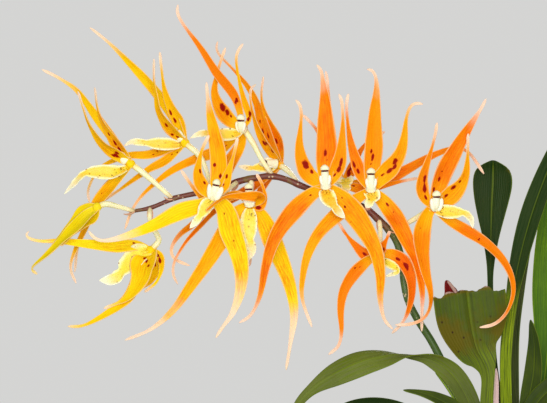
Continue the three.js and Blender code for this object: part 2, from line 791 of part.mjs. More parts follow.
    pedicel: [[-177.5, 0, 346], [-177.3, -3, 339], [-174, -6, 333], [-173, -7, 329.5]],
    tepals: [
      {
        kind: "hooked", width: 6.7,
        route: [
          [-7.5, -1, 2.5], [-17.5, -1, 2], [-30, -1, 3], [-45, 0, 4.5], [-55, 1, 4.5], [-61, 2, 6],
          [-62.5, 2, 8], [-60.5, 2, 9.5],
        ],
      },
      {
        kind: "lateral", width: 8.4,
        route: [
          [-3, -3, -4], [-5.5, -4, -11], [-8, -4, -18], [-12.5, -3, -25], [-23.5, -1, -32.5],
          [-33.5, 1, -37.5], [-41.5, 2, -38],
        ],
      },
      {
        kind: "petal", width: 15.5,
        route: [
          [-2, -5, -2.2], [-4.2, -7.5, -7.5], [-5, -8, -13], [-7.6, -7, -18.8], [-11.5, -5, -23.5],
          [-17, -3, -26.5], [-23.5, -1, -29],
        ],
      },
      {
        kind: "petal", width: 4.6,
        route: [[4.6, -1, -3], [5.4, -2, -9.5], [2.8, -2.5, -16], [-3, -2.5, -20.8]],
      },
      { kind: "dorsal", width: 9, route: [[1, 2, -5], [1, 3.5, -11], [-1.5, 4, -16], [-6.5, 4, -20.5]] },
    ],
    lipWide: 12,
    lipRoute: [
      [-0.5, -1.5, 0.5], [-5.5, -2.2, -2], [-11.5, -1.2, -7],
      [-15, -0.5, -11.5], [-19, -1, -14.5], [-25.5, -2, -15],
    ],
  },
];

// The spike, green at its foot and brown among the flowers. Each row is x, y, z and radius.
const SPIKE_ROUTE = [
  [-16, 9, 84, 2.3], [-15.5, 8.5, 150, 2.3], [-15, 7, 205, 2.2], [-18, 5, 235, 2.1], [-23.5, 4, 250, 2],
  [-29.5, 3, 265, 2], [-36.5, 2, 279, 1.9], [-43.5, 1, 290, 1.9], [-48.5, 0, 300, 1.8], [-50.5, 0, 309, 1.8],
  [-51.5, 0, 319, 1.8], [-54, 0, 328.5, 1.7], [-58.5, 0, 335.5, 1.7], [-63.5, 0, 340.5, 1.7],
  [-70, 0, 346, 1.6], [-80, 0, 350, 1.6], [-90, 0, 352.5, 1.6], [-101.5, 0, 357, 1.5], [-110, 0, 360.5, 1.5],
  [-117.5, 0, 362, 1.5], [-125, 0, 361, 1.5], [-132.5, 0, 359.5, 1.5], [-145, 0, 355, 1.4],
  [-156, 0, 353, 1.3], [-165, 0, 351, 1.2], [-170, 0, 349, 1.1], [-177.5, 0, 346, 1],
  [-185.5, 0, 344.5, 0.8],
];
const SPIKE_SUNK_ROWS = 3;

// A small pointed scale under the foot of a pedicel.
function bract(foot, next) {
  const along = vector(next).sub(vector(foot)).normalize();
  const start = vector(foot);
  const tip = start.clone().addScaledVector(along, BRACT_LENGTH).addScaledVector(UP, -BRACT_DROP);
  const rows = [start, start.clone().lerp(tip, 0.5), tip].map((point) => point.toArray());
  const rings = stations(rows, 2).map((spot, i) =>
    bladeRing(spot, UP, BRACT_WIDTHS[i], BRACT_THICKNESS, 0));
  return skin(rings);
}

function buildSpike() {
  const rachis = stem(SPIKE_ROUTE, SPIKE_SIDES, SPIKE_STEPS);
  const bracts = FLOWERS.map(({ pedicel }) => bract(pedicel[0], pedicel[1]));
  const spike = join([rachis, ...bracts]);
  addPiece("flower_spike", spike, "spike");
  return spike;
}

function buildFlower(flower, spike) {
  const face = vector(flower.face).normalize();
  const blades = flower.tepals.map((shape) => tepal(shape, flower.centre, face));
  const star = join([ellipsoid(flower.centre, HUB_RADII), ...blades]);
  addPiece(`flower_${flower.name}`, star, flower.colour);

  if (flower.lipRoute) {
    addPiece(`lip_${flower.name}`, seat(lip({ ...flower, face }), star, face), "cream");
  }

  const rows = [...flower.pedicel, flower.centre].map((row) => [...row, PEDICEL_RADIUS]);
  const outward = vector(flower.pedicel[1]).sub(vector(flower.pedicel[0]));
  const inward = vector(flower.pedicel.at(-1)).sub(vector(flower.centre));
  const stalk = seat(stem(rows, PEDICEL_SIDES, PEDICEL_STEPS), spike, outward);
  addPiece(`pedicel_${flower.name}`, seat(stalk, star, inward), "stalk");
}

// ---------------------------------------------------------------- bulbs and leaves

// Each bulb: the middle of its foot and of its top, its greatest half width, and its turn about +Z.
const BULBS = [
  { name: "pseudobulb_1", foot: [-17, -8, 78], top: [-12, -6, 204], half: 14.5, turn: 8 },
  { name: "pseudobulb_2", foot: [12, 3, 78], top: [6, 4, 212], half: 14, turn: -10 },
  { name: "pseudobulb_3", foot: [-8, 27, 78], top: [-8, 24, 182], half: 13, turn: 18 },
  { name: "pseudobulb_4", foot: [36, -8, 78], top: [32, -8, 168], half: 11, turn: 30 },
];

// Half width from foot to top: a narrow foot, a swollen middle, and a narrow neck.
function bulbHalfWidth(s, half) {
  const fullness = Math.sin(Math.PI * s ** BULB_LOWNESS) ** BULB_FULLNESS;
  return half * THREE.MathUtils.lerp(BULB_NECK_SHARE, 1, fullness);
}

// A bulb, or with a clearance the hole that it stands in.
function bulb({ foot, top, half, turn }, clearance = 0) {
  const rings = Array.from({ length: BULB_STEPS + 1 }, (_, step) => {
    const s = step / BULB_STEPS;
    const middle = vector(foot).lerp(vector(top), s);
    const wide = bulbHalfWidth(s, half) + clearance;
    const thick = bulbHalfWidth(s, half) * BULB_FLATNESS + clearance;
    return Array.from({ length: BULB_SIDES }, (_, side) => {
      const angle = (2 * Math.PI * side) / BULB_SIDES;
      const corner = new THREE.Vector3(Math.cos(angle) * wide, Math.sin(angle) * thick, 0);
      return corner.applyAxisAngle(UP, THREE.MathUtils.degToRad(turn)).add(middle);
    });
  });
  return skin(rings);
}

// Each leaf: the bulb or leaf that it grows from, and rows of x, y, z, width and turn about its own length.
const LEAVES = [
  {
    name: "leaf_01", bulb: 0, colour: "leaf", face: [0.3, -1, 0.35], steps: 15,
    route: [
      [-14, -6, 198, 3.5, 0], [-14, -9, 218, 5, 0], [-14.5, -11, 236, 7.5, 0], [-18.5, -12, 250, 10.5, 5],
      [-26.5, -13, 263, 11, 15], [-36.5, -14, 270, 8, 45],
      [-45.5, -15, 271.8, 6, 85], [-57.5, -16, 271.5, 12, 140],
      [-71.5, -18, 269, 14.5, 160], [-85, -20, 263.5, 12, 168], [-96.5, -22, 256.5, 6, 172],
      [-104, -23, 248.5, 4, 175], [-108.5, -24, 238, 1.4, 178],
    ],
  },
  {
    name: "leaf_02", bulb: 0, colour: "leaf", face: [0.2, -1, 0.3], steps: 10,
    route: [
      [-9.5, -7, 199, 3, 0], [-9, -9, 220, 5, 0], [-9.8, -11, 246, 6.5, 0], [-9.2, -12, 262, 7, 0],
      [-11, -13, 270, 14, 0], [-14.2, -15, 277, 25, 3], [-16.8, -18, 289, 35, 6],
      [-19.4, -22, 306.5, 36.5, 8],
    ],
  },
  {
    name: "leaf_03", bulb: 1, colour: "leaf", face: [-0.1, -1, 0.1], steps: 10,
    route: [
      [3, 7, 207, 3, 0], [0, 11, 235, 3.5, 0], [-5, 15, 270, 3.5, 0],
      [-6.3, 18, 305, 2.8, 0], [-6.2, 19, 318, 4, 0],
      [-6, 20, 330, 8, 0], [-5.8, 21, 341, 13.5, 0], [-5.4, 22, 351, 18.2, 0], [-5, 22, 358, 20.2, 0],
      [-4.9, 22, 363, 19.4, 0], [-4.8, 21.6, 367, 15.5, 0], [-4.8, 21.2, 369.3, 10, 0],
      [-4.8, 21, 370.2, 5, 0],
    ],
  },
  {
    name: "leaf_04", bulb: 1, colour: "leaf", face: [-0.3, -1, 0.1], steps: 13,
    route: [
      [4.5, 2, 207, 3.5, 0], [1.5, 0, 228, 5, 0], [0.5, -2, 250, 5.8, 0],
      [0.3, -3, 275, 6, 0], [3, -4, 300, 6.5, 0],
      [7, -6, 322, 9.5, 0], [12.5, -9, 343, 11, 0], [20, -13, 364, 10, 0],
      [29, -18, 384, 7, 0], [38, -23, 399, 2, 0],
    ],
  },
  {
    name: "leaf_05", bulb: 1, colour: "paleLeaf", face: [-0.1, -1, 0.1], steps: 13,
    route: [
      [9.5, 4, 207, 3.5, 0], [13, 6, 226, 6, 0], [19, 9, 252, 10, 0],
      [22.5, 12, 280, 14, 0], [22.5, 15, 305, 16, 0],
      [25, 19, 332, 16, 0], [30, 24, 357, 14, 0], [39, 29, 380, 9, 0], [48, 33, 395, 2, 0],
    ],
  },
  {
    name: "leaf_06", bulb: 1, colour: "leaf", face: [-0.5, -1, 0.1], steps: 12,
    route: [
      [6.5, 5.5, 206, 3, 0], [6.3, 9.5, 230, 4, 0], [5.5, 14, 255, 5, 0],
      [6, 17, 282, 5, 0], [8.5, 20, 305, 5.5, 0],
      [12, 23, 325, 5, 0], [17, 26, 350, 5, 0], [24, 28, 372, 1.5, 0],
    ],
  },
  {
    name: "leaf_07", bulb: 1, colour: "leaf", face: [-0.4, -1, 0.2], steps: 8,
    route: [
      [6.5, -1, 205, 3, 0], [8.5, -6, 225, 5, 0], [10.5, -11, 248, 8.5, 0], [13, -16, 265, 9.5, 0],
      [13, -22, 280, 6, 0], [11, -27, 291, 1.5, 0],
    ],
  },
  {
    name: "leaf_08", bulb: 3, colour: "leaf", face: [-0.5, -0.8, 0.6], steps: 10,
    route: [
      [31, -8, 163, 3.5, 0], [24, -15, 190, 6, 0], [13, -20, 225, 9, 0],
      [11, -23, 243, 11.5, 0], [17, -25, 254, 12.5, 0],
      [27, -26, 260, 12, 0], [38, -27, 260, 9, 0], [50, -28, 253, 2, 0],
    ],
  },
  {
    name: "leaf_09", bulb: 0, colour: "leaf", face: [0.3, -0.8, 0.7], steps: 9,
    route: [
      [-14, -10, 195, 3, 0], [-13, -19, 212, 6, 0], [-17, -23, 232, 10, 0],
      [-25, -26, 246, 11, 0], [-34, -28, 252, 8, 0],
      [-43, -30, 255, 4, 0], [-52, -31, 256.5, 1.2, 0],
    ],
  },
  {
    name: "leaf_10", bulb: 0, colour: "paleLeaf", face: [1, -0.35, 0.5], steps: 8,
    route: [
      [-15.5, -3, 195, 3, 0], [-17, -4, 215, 5, 0], [-18, -5, 232, 6, 0], [-23, -5.5, 247, 6, 0],
      [-29, -5.5, 257, 4.5, 0], [-35, -5, 264.5, 1.2, 0],
    ],
  },
  {
    name: "leaf_11", bulb: 2, colour: "leaf", face: [0.2, -0.6, 0.9], steps: 11,
    route: [
      [-9, 24, 176, 3.5, 0], [-15, 26, 205, 7, 0], [-30, 26, 230, 12, 0],
      [-50, 24, 243, 15, 0], [-72, 20, 245, 14, 0],
      [-92, 15, 237, 9, 0], [-110, 10, 224, 1.5, 0],
    ],
  },
  {
    name: "dry_sheath", bulb: 1, colour: "dry", face: [0.5, -1, 0.1], steps: 6,
    route: [
      [1.5, 3, 205, 2, 0], [-3, 1, 222, 3, 0], [-4.5, -1, 245, 3.2, 0],
      [-4.5, -2, 258, 3, 0], [-4.5, -2, 266, 1.2, 0],
    ],
  },
  {
    name: "torn_flap", on: "leaf_02", colour: "dry", face: [0.4, -0.9, 0.2], steps: 5,
    route: [
      [-27, -19.6, 299, 6, 0], [-27.6, -20.4, 303, 8, 0], [-28.8, -20.9, 306.5, 5.5, 0],
      [-30.2, -21.1, 310.2, 1.4, 0],
    ],
  },
];

function buildBulbsAndLeaves() {
  const bulbs = BULBS.map((shape) => bulb(shape));
  BULBS.forEach(({ name }, i) => addPiece(name, bulbs[i], "bulb"));
  const blades = new Map();
  for (const leaf of LEAVES) {
    const face = vector(leaf.face).normalize();
    const rings = stations(leaf.route, leaf.steps).map((spot) => {
      const [width, turn] = spot.extra;
      return bladeRing(spot, face, width, LEAF_THICKNESS, LEAF_CHANNEL, turn);
    });
    const whole = skin(rings);
    const blade = leaf.on ? seat(whole, blades.get(leaf.on), BACK) : seat(whole, bulbs[leaf.bulb], UP);
    blades.set(leaf.name, blade);
    addPiece(leaf.name, blade, leaf.colour);
  }
}

// ---------------------------------------------------------------- pot and bark

function potWallRadius(z) {
  return THREE.MathUtils.lerp(POT_BASE_RADIUS, POT_BODY_TOP_RADIUS, z / POT_HEIGHT);
}

function potRoomRadius(z) {
  return potWallRadius(z) - POT_WALL;
}

function lathe(profile) {
  const points = profile.map(([r, z]) => new THREE.Vector2(r, z));
  const geometry = new THREE.LatheGeometry(points, POT_SIDES);
  geometry.rotateX(Math.PI / 2);
  return solid(geometry);
}

// An upright round bar. The place is the middle of its foot.
function upright(radius, height, [x, y, z], sides) {
  const geometry = new THREE.CylinderGeometry(radius, radius, height, sides);
  geometry.rotateX(Math.PI / 2);
  geometry.translate(x, y, z + height / 2);
  return solid(geometry);
}

function buildPot() {
  const rimFoot = POT_HEIGHT - POT_RIM_HEIGHT;
  let pot = lathe([
    [0, 0],
    [POT_BASE_RADIUS - POT_EDGE, 0],
    [POT_BASE_RADIUS, POT_EDGE],
    [potWallRadius(rimFoot), rimFoot],
    [POT_RIM_RADIUS - POT_EDGE, rimFoot],
    [POT_RIM_RADIUS, rimFoot + POT_EDGE],
    [POT_RIM_RADIUS + POT_RIM_FLARE, POT_HEIGHT - POT_LIP_EDGE],
    [POT_RIM_RADIUS + POT_RIM_FLARE - POT_LIP_EDGE, POT_HEIGHT],
    [potRoomRadius(POT_HEIGHT) + POT_LIP_EDGE, POT_HEIGHT],
    [potRoomRadius(POT_HEIGHT), POT_HEIGHT - POT_LIP_EDGE],
    [potRoomRadius(POT_FLOOR), POT_FLOOR],
    [0, POT_FLOOR],
  ]);
  for (let i = 0; i < DRAIN_COUNT; i++) {
    const angle = (2 * Math.PI * i) / DRAIN_COUNT;
    const foot = [DRAIN_CIRCLE * Math.cos(angle), DRAIN_CIRCLE * Math.sin(angle), -1];
    pot = pot.subtract(upright(DRAIN_RADIUS, POT_FLOOR + 2, foot, DRAIN_SIDES));
  }
  addPiece("pot", pot, "clay");
}

// A small seeded source of random numbers from 0 to 1.
function seededRandom(seed) {
  let state = seed;
  return () => {
    state = (Math.imul(state, 1664525) + 1013904223) >>> 0;
    return state / 2 ** 32;
  };
}

// A solid disc that fits in the pot's room between two heights.
function filling(from, to) {
  return lathe([[0, from], [potRoomRadius(from) - GAP, from], [potRoomRadius(to) - GAP, to], [0, to]]);
}

function barkChips() {
  const random = seededRandom(CHIP_SEED);
  return Array.from({ length: CHIP_COUNT }, (_, i) => {
    const radius = CHIP_REACH * Math.sqrt((i + 0.5) / CHIP_COUNT);
    const angle = i * GOLDEN_ANGLE;
    const size = CHIP_SIZE.map((side) => side * (CHIP_SMALLEST + CHIP_SPREAD * random()));
    const geometry = new THREE.BoxGeometry(...size);
    geometry.rotateX(CHIP_TILT * (random() - 0.5));
    geometry.rotateY(CHIP_TILT * (random() - 0.5));
    geometry.rotateZ(Math.PI * random());
    const height = BARK_TOP + CHIP_LIFT * random();
    geometry.translate(radius * Math.cos(angle), radius * Math.sin(angle), height);
    return solid(geometry);
  });
}

function buildBark() {
  const heap = join([filling(POT_FLOOR + GAP, BARK_TOP), ...barkChips()]);
  const sunk = SPIKE_ROUTE.slice(0, SPIKE_SUNK_ROWS).map(([x, y, z, radius]) => [x, y, z, radius + HOLE_GAP]);
  const [x, y, z, radius] = SPIKE_ROUTE[0];
  const holes = [
    stem(sunk, SPIKE_SIDES + 2, 2),
    upright(radius + HOLE_GAP, BARK_TOP - z, [x, y, z - GAP], SPIKE_SIDES + 2),
    ...BULBS.map((shape) => bulb(shape, HOLE_GAP)),
  ];
  const bark = heap.intersect(filling(POT_FLOOR, POT_HEIGHT)).subtract(join(holes));
  addPiece("potting_bark", mainBody(bark), "bark");
}

const spike = buildSpike();
FLOWERS.forEach((flower) => buildFlower(flower, spike));
buildBulbsAndLeaves();
buildPot();
buildBark();

export default model;
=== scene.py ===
# A potted brassia orchid: an arching spike of spidery flowers, strap leaves on flattened pseudobulbs, and a
# clay pot filled with bark. Tables are in millimetres; meshes are in metres, +Z up, with the middle of the
# pot's underside at the origin. The flowers face -Y.
import math
import random

import bpy
import numpy as np
from mathutils import Matrix, Vector, noise


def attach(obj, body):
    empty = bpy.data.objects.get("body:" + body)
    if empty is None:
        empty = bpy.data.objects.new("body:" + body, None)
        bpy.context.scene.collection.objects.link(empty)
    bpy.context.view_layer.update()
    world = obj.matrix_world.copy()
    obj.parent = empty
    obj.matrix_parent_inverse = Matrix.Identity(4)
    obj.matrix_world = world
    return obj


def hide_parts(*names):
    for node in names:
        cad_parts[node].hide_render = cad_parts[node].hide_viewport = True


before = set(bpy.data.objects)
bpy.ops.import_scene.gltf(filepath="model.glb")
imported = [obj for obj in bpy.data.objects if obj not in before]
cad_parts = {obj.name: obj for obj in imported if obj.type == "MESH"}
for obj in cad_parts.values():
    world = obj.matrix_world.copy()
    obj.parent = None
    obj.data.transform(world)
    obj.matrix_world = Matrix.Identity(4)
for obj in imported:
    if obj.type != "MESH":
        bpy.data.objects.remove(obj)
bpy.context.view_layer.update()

MM = 0.001

# The view: level, from the side that the flowers face
VIEW_CENTRE = (-115.75, 349.25)
VIEW_WIDTH = 273.5
VIEW_DISTANCE = 2000
LENS_SENSOR = 36

# Pot and bark, the same driving sizes as the solid pot
POT_HEIGHT = 112
POT_BASE_RADIUS = 44
POT_BODY_TOP_RADIUS = 56
POT_RIM_RADIUS = 61.5
POT_RIM_HEIGHT = 21
POT_WALL = 5
POT_FLOOR = 7
DRAIN_COUNT = 3
DRAIN_RADIUS = 5
DRAIN_CIRCLE = 24
GOLDEN_ANGLE = math.pi * (3 - math.sqrt(5))


# ---------------------------------------------------------------- the plant's tables


def flower(name, colour, centre, face, pedicel, *tepals, lip=None, column=None):
    """A flower's rows. Each tepal has its kind, its greatest width and its route from the flower's centre.
    The lip has its greatest width and its route."""
    return dict(name=name, colour=colour, centre=centre, face=face, pedicel=pedicel, tepals=tepals, lip=lip,
                column=column)


FLOWERS = [
    flower(
        "01", "yellow", (-187, -3, 368), (-0.72, -0.68, 0.1),
        [(-166, 0, 350.5), (-175, -1, 358.5), (-182, -2, 364.5)],
        ("petal", 7.8, (-13, -6, 8.5), (-20, -10, 18.5), (-23.5, -12, 28), (-26, -12, 36)),
        ("petal", 7.8, (-7.5, 2, 9.5), (-13.5, 4, 19), (-17, 5, 28), (-18.5, 5, 38.5)),
        ("dorsal", 5.6, (-10.3, 6, 14), (-19.6, 10, 26.3), (-27.2, 11, 36.7), (-36, 11, 42.9),
         (-45, 9, 47.5)),
        ("lateral", 7.8, (-9.5, 0, -10), (-17, 2, -19), (-22.5, 3, -31), (-28, 3, -43), (-30.5, 4, -52),
         (-27.5, 5, -60)),
        ("lateral", 6.7, (-8, 5, -8), (-15.5, 9, -16), (-22, 12, -28), (-27, 14, -40), (-29, 15, -54.5)),
        lip=(7.5, (-2, -3.5, -2), (-8, -4.5, -4), (-18, -5, -4), (-23.5, -5, -5), (-28, -5, -9.5),
         (-33, -5, -15)),
        column=[(-2.2, 0.6, 1.4), (-4.6, 1, 3.2), (-6.2, 1.3, 4.6)],
    ),
    flower(
        "02", "yellow", (-160, 4, 378.5), (-0.72, -0.68, 0.1),
        [(-146.5, 0, 355), (-150, 1, 366.5), (-153.5, 2, 373)],
        ("petal", 8.4, (-7.5, -5, 6.5), (-13, -8, 15.5), (-14.5, -10, 24), (-15.5, -11, 32.5),
         (-15.5, -11, 42)),
        ("petal", 7.8, (-3, 3, 9), (-7.5, 5, 18), (-10.5, 6, 26.5), (-12, 6, 36.5), (-13, 5, 46)),
        ("dorsal", 6.7, (-7.1, 7, 15.2), (-18, 12, 29.2), (-28.8, 14, 40.8), (-38.5, 14, 50.5),
         (-48.5, 12, 58.5)),
        ("lateral", 5, (-17.5, 6, -5.5), (-28.5, 9, -6), (-37.5, 12, -9), (-43.5, 13, -12.5),
         (-47.5, 13, -18.5), (-49.5, 12, -24.5), (-48.5, 11, -30)),
        ("lateral", 5.6, (-10, 2, -8.5), (-17.5, 4, -12.5), (-25, 6, -17.5), (-33.5, 8, -23.5),
         (-42, 10, -29)),
        lip=(6.5, (-2.5, -3, -1), (-10, -5, -0.5), (-19, -6, 0), (-23, -6, 0.5), (-27, -6, 0.5),
         (-30.5, -5, -1.5)),
        column=[(-1.6, 1, 1.8), (-3.4, 1.4, 4), (-4.6, 1.7, 5.6)],
    ),
    flower(
        "03", "amber", (-131, 10, 386.5), (-0.4, -0.9, 0.1),
        [(-116, 0, 362), (-121.5, 1, 370), (-126, 5, 378.5)],
        ("dorsal", 5, (-4, 0, 15), (-13.5, -4, 27.5), (-21.5, -7, 40), (-30, -9, 51.5), (-33, -9, 57.5),
         (-32.5, -8, 61.5)),
        ("petal", 8.4, (-6, 0, 3), (-11.5, 4, 9.5), (-14.5, 7, 17.5), (-13.5, 9, 26), (-11.5, 9, 33.5),
         (-9, 8, 40.5)),
        ("petal", 3.8, (3, -1, 4.5), (0.5, -2, 13.5), (-2, -3, 23.5), (-3.5, -3, 33.5), (-2.5, -3, 38.5),
         (0, -4, 42)),
        ("lateral", 6.2, (-10.5, 2, -10.5), (-23, 3, -15.5), (-34, 1, -20.5), (-43, -1, -27),
         (-51.5, -3, -35), (-56.5, -4, -43), (-59.5, -3, -51.5)),
        ("lateral", 7.8, (-1.5, 2, -9), (-7.5, 3, -19), (-15.5, 2, -35.5), (-24, -1, -47.5),
         (-31.5, -4, -53.5), (-36, -6, -60.5), (-34.5, -6, -66), (-26.5, -4, -69.5)),
        lip=(6.5, (-1, -4, -2), (-5, -6, -3.5), (-12, -7, -3.5), (-18, -6, -3), (-22.5, -5, -3.5),
         (-26.5, -4, -5.5)),
        column=[(-0.5, -3.5, -0.5), (-1, -6, 1), (-1, -6.5, 3.5)],
    ),
    flower(
        "04", "orange", (-112.5, 12, 367.5), (-0.7, -0.7, 0.1),
        [(-103.5, 0, 358), (-106, 4, 362), (-109.5, 9, 365.5)],
        ("petal", 7.8, (-6.5, -6, 8.5), (-11.5, -10, 18.5), (-14, -12, 27.5), (-15, -12, 34),
         (-14.5, -12, 38.5), (-12, -11, 40.5)),
        ("petal", 9, (-1, 4, 10), (-5, 6, 20), (-8.5, 7, 29), (-9.5, 7, 36.5), (-8.5, 6, 45)),
        ("petal", 8.6, (-7.5, 7, 16.5), (-12.3, 12, 32.5), (-17.5, 15, 41.5), (-25, 16, 50),
         (-30.5, 15, 55.5), (-32.5, 14, 59.5), (-31.5, 12, 63)),
        ("lateral", 5.6, (-9, 2, -7.5), (-20, 1, -14.5), (-31, -2, -21.5), (-40, -8, -30.5),
         (-47.5, -11, -39), (-53, -12, -48.5), (-53.5, -11, -55.5), (-51, -9, -60)),
        ("lateral", 5.6, (-7.5, 6, -9), (-13, 8, -20), (-15, 8, -32.5), (-15, 7, -46.5), (-15.5, 6, -51)),
        lip=(5.5, (-2.5, -3, -1), (-9, -5, -1), (-15, -6, -1.5), (-18, -6, -1), (-21, -5, -0.5)),
        column=[(-2.5, -3, 0.5), (-5.5, -4.5, 1), (-7.5, -5.5, 1)],
    ),
    flower(
        "05", "amber", (-145.5, -22, 351.5), (-0.12, -0.99, 0.05),
        [(-134, 0, 359), (-137, -7, 356.5), (-142, -15, 353)],
        ("dorsal", 8.8, (2.5, -1, 12.5), (2, -2, 23.5), (0, -2, 33.5), (-2, -1, 43.5), (-3, 1, 51),
         (-3.5, 3, 57)),
        ("petal", 7.3, (-5, -1, 4.5), (-7.5, -3, 11), (-7, -5, 17.5), (-5, -6, 24.5), (-2, -6, 30.5)),
        ("petal", 6.2, (5, -1, 5.5), (7.5, -2, 12.5), (10, -2, 20.5), (12, 0, 29.5)),
        ("lateral", 9, (-6, -1, -4), (-17, -3, -7.5), (-29.5, -4, -14), (-43, -4, -19.3), (-53, -2, -21.5),
         (-58.5, 0, -20.5), (-62, 2, -16.5)),
        ("lateral", 11.8, (6, -1, -6.5), (8.8, -2, -17.5), (12.4, -3, -27.5), (14, -3, -37.5),
         (13.1, -2, -47.5), (9.5, 0, -57.5), (4.5, 2, -64.5), (1, 4, -70)),
        lip=(7, (-0.5, -3.5, -1), (-3, -7, -4), (-5.5, -9, -8), (-8.5, -10, -12), (-11.5, -9, -15.5)),
        column=[(0, -3.5, 0.5), (0.8, -6.5, 3), (1.5, -7, 6)],
    ),
    flower(
        "06", "amber", (-127.5, -10, 347.5), (0, -0.96, -0.2),
        [(-127, 0, 361), (-127, -2, 355), (-127.3, -6, 350.5)],
        ("dorsal", 5, (-5, 1, 5), (-12.5, 2, 3.5), (-20, 3, 1.5), (-26.5, 3, 6.5), (-34.5, 4, 17.5)),
        ("petal", 6.4, (4.6, -3.5, 2.4), (4.2, -9.2, 4), (-3, -11.2, 4.4), (-11, -14.5, 4.2), (-15.5, -19, 2),
         (-18.5, -22.5, -0.5), (-21.5, -25, -3)),
        ("petal", 4.4, (5, -1, -1), (7.4, -2, 4), (6.2, -3, 10), (3.2, -3, 15.5)),
        ("lateral", 9, (-6.5, 0, -3.5), (-14, 0, -16.5), (-22, -1, -29.5), (-29.3, -2, -40.1),
         (-38.4, -2, -52.6), (-49.5, 0, -62), (-62.5, 4, -67.5)),
        ("lateral", 10.1, (6, 0, -6), (11, -1, -17.5), (16.5, -2, -30), (20.5, -2, -42.5), (22, -1, -55),
         (20, 1, -70), (18, 4, -82.5)),
        lip=(8.5, (0, -3.5, -1.5), (-0.5, -6, -8.5), (0, -6, -16.5), (1, -4, -22.5), (-0.5, -2, -27.5)),
        column=[(0, -3.5, 0.5), (-0.3, -5.5, 4), (-0.5, -6, 8)],
    ),
    flower(
        "07", "orange", (-90, -24, 356.5), (0, -1, 0.03),
        [(-86, 0, 351.5), (-87, -8, 354), (-89, -17, 356)],
        ("dorsal", 10.6, (0, -1, 11), (0.5, -2, 21), (0, -2, 32.5), (-0.5, -1, 43.5), (-1.5, 0, 53.5),
         (-2.5, 1, 58), (-4.5, 2, 60.5)),
        ("petal", 8.4, (-8, -1, 5.5), (-11.5, -2, 12), (-13, -3, 20), (-12.5, -4, 28.5), (-12, -3, 36),
         (-13, -2, 41), (-15, -1, 43)),
        ("petal", 7.8, (4.5, -1, 6.5), (7, -2, 13.5), (8, -3, 22), (8.5, -3, 32.5), (8, -2, 42),
         (6.5, -1, 46)),
        ("lateral", 9.3, (-7, -1, -3.8), (-14.2, -2, -10.4), (-21.4, -2, -18.9), (-26.4, -2, -28.3),
         (-29.9, -2, -40.6), (-32.5, 0, -54), (-37, 2, -63.5), (-43, 4, -67.5)),
        ("lateral", 11.2, (7.5, -1, -5.5), (14.5, -2, -13.5), (20.5, -3, -23), (25, -3, -32.5), (27, -3, -44),
         (27, -1, -55.5), (29, 1, -65.5), (33.5, 3, -70.5)),
        lip=(8, (0, -3.5, -1), (0.5, -7, -4), (3, -9, -8), (6.5, -9, -12.5), (9.5, -8, -15.5)),
        column=[(0, -3.5, 0.5), (-0.3, -6, 4), (-0.5, -6.5, 8)],
    ),
    flower(
        "08", "orange", (-67.5, -14, 355), (0.08, -0.99, 0.03),
        [(-69, 0, 345.5), (-68.5, -4, 350), (-68, -9, 353.5)],
        ("dorsal", 9.6, (0.5, -1, 11), (1.5, -2, 20), (1.7, -2, 29), (2.2, -1, 40), (3, 0, 50),
         (2.5, 1, 56.5), (0.5, 1, 59.7), (-2, 2, 60)),
        ("petal", 6.7, (-4.5, -1, 7), (-7.5, -2, 15), (-10, -2, 24), (-11.5, -2, 34), (-12, -1, 42.5),
         (-11, 0, 48)),
        ("petal", 9.5, (5, -1, 6), (10, -2, 11), (14.5, -3, 18), (16.5, -4, 26), (17.5, -4, 35),
         (19.5, -3, 41), (22.5, -2, 43), (26, -1, 42.5)),
        ("lateral", 7.8, (-9, 1, -6), (-17.5, 1, -13), (-25, 1, -20.5), (-30.5, 1, -30), (-33.5, 1, -41.5),
         (-34, 2, -54), (-29, 4, -68.5)),
        ("lateral", 9.3, (6.5, -1, -6), (13, -2, -15), (18, -3, -25), (23, -3, -36), (25.5, -2, -50),
         (25.5, 0, -61), (25.5, 2, -70.5)),
        lip=(8.5, (0, -3.5, -1), (0.5, -6, -2.5), (-0.5, -8, -5.5), (-2.5, -8.5, -9)),
        column=[(0, -3.5, 0.5), (0, -6, 4), (0, -6.5, 8)],
    ),
    flower(
        "09", "orange", (-36.5, -15, 346.5), (0.4, -0.91, 0.1),
        [(-58, 0, 335), (-51, -3, 337.5), (-43, -8, 342)],
        ("dorsal", 9.5, (2.7, 0, 10), (6.1, 1, 18.5), (10.8, 3, 27.3), (15.9, 4, 36.2), (20.7, 4, 43.8),
         (24.3, 3, 49.5), (26.5, 2, 54)),
        ("petal", 7.3, (-4.5, -2, 5.5), (-5.5, -3, 12.5), (-3.5, -3, 20.5), (-1, -3, 28.5), (1, -2, 36),
         (2, -1, 42)),
        ("petal", 9.8, (6, 1, 3.5), (12.2, 2, 8.7), (16.2, 2, 16), (17.2, 1, 26), (17.4, -1, 36.5)),
        ("tailed", 9.8, (-3, -1, -4), (-5.5, -2, -12.5), (-5.5, -3, -21.5), (-4, -4, -31.5),
         (-1.5, -4, -41.5), (-1.5, -3, -49), (-4.5, -2, -55), (-11, -1, -58), (-19, 1, -58.5)),
        ("lateral", 6.2, (7, 1, -6), (15.5, 2, -11), (26, 2, -17.5), (34.5, 1, -26), (39, -1, -35),
         (39.5, -3, -43.5), (36, -5, -52.5), (30, -6, -58), (22.5, -7, -59.5)),
        lip=(7, (1, -3, -1.5), (4, -4.5, -2), (10, -5, -2.5), (15.5, -5, -3), (18.5, -5, -6),
         (19.5, -5, -10.5)),
        column=[(0.8, -3.2, 0.5), (1.2, -5.5, 2), (1.3, -6, 5.2)],
    ),
    flower(
        "10", "orange", (-63.5, -8, 322.5), (0.2, -0.95, -0.2),
        [(-63, 0, 340.8), (-62.5, -4, 335), (-63, -7, 327.5)],
        ("lateral", 6.7, (-6, 0, -3.2), (-12.7, 0, -10), (-17.4, 0, -18.3), (-18.8, 0, -27.5),
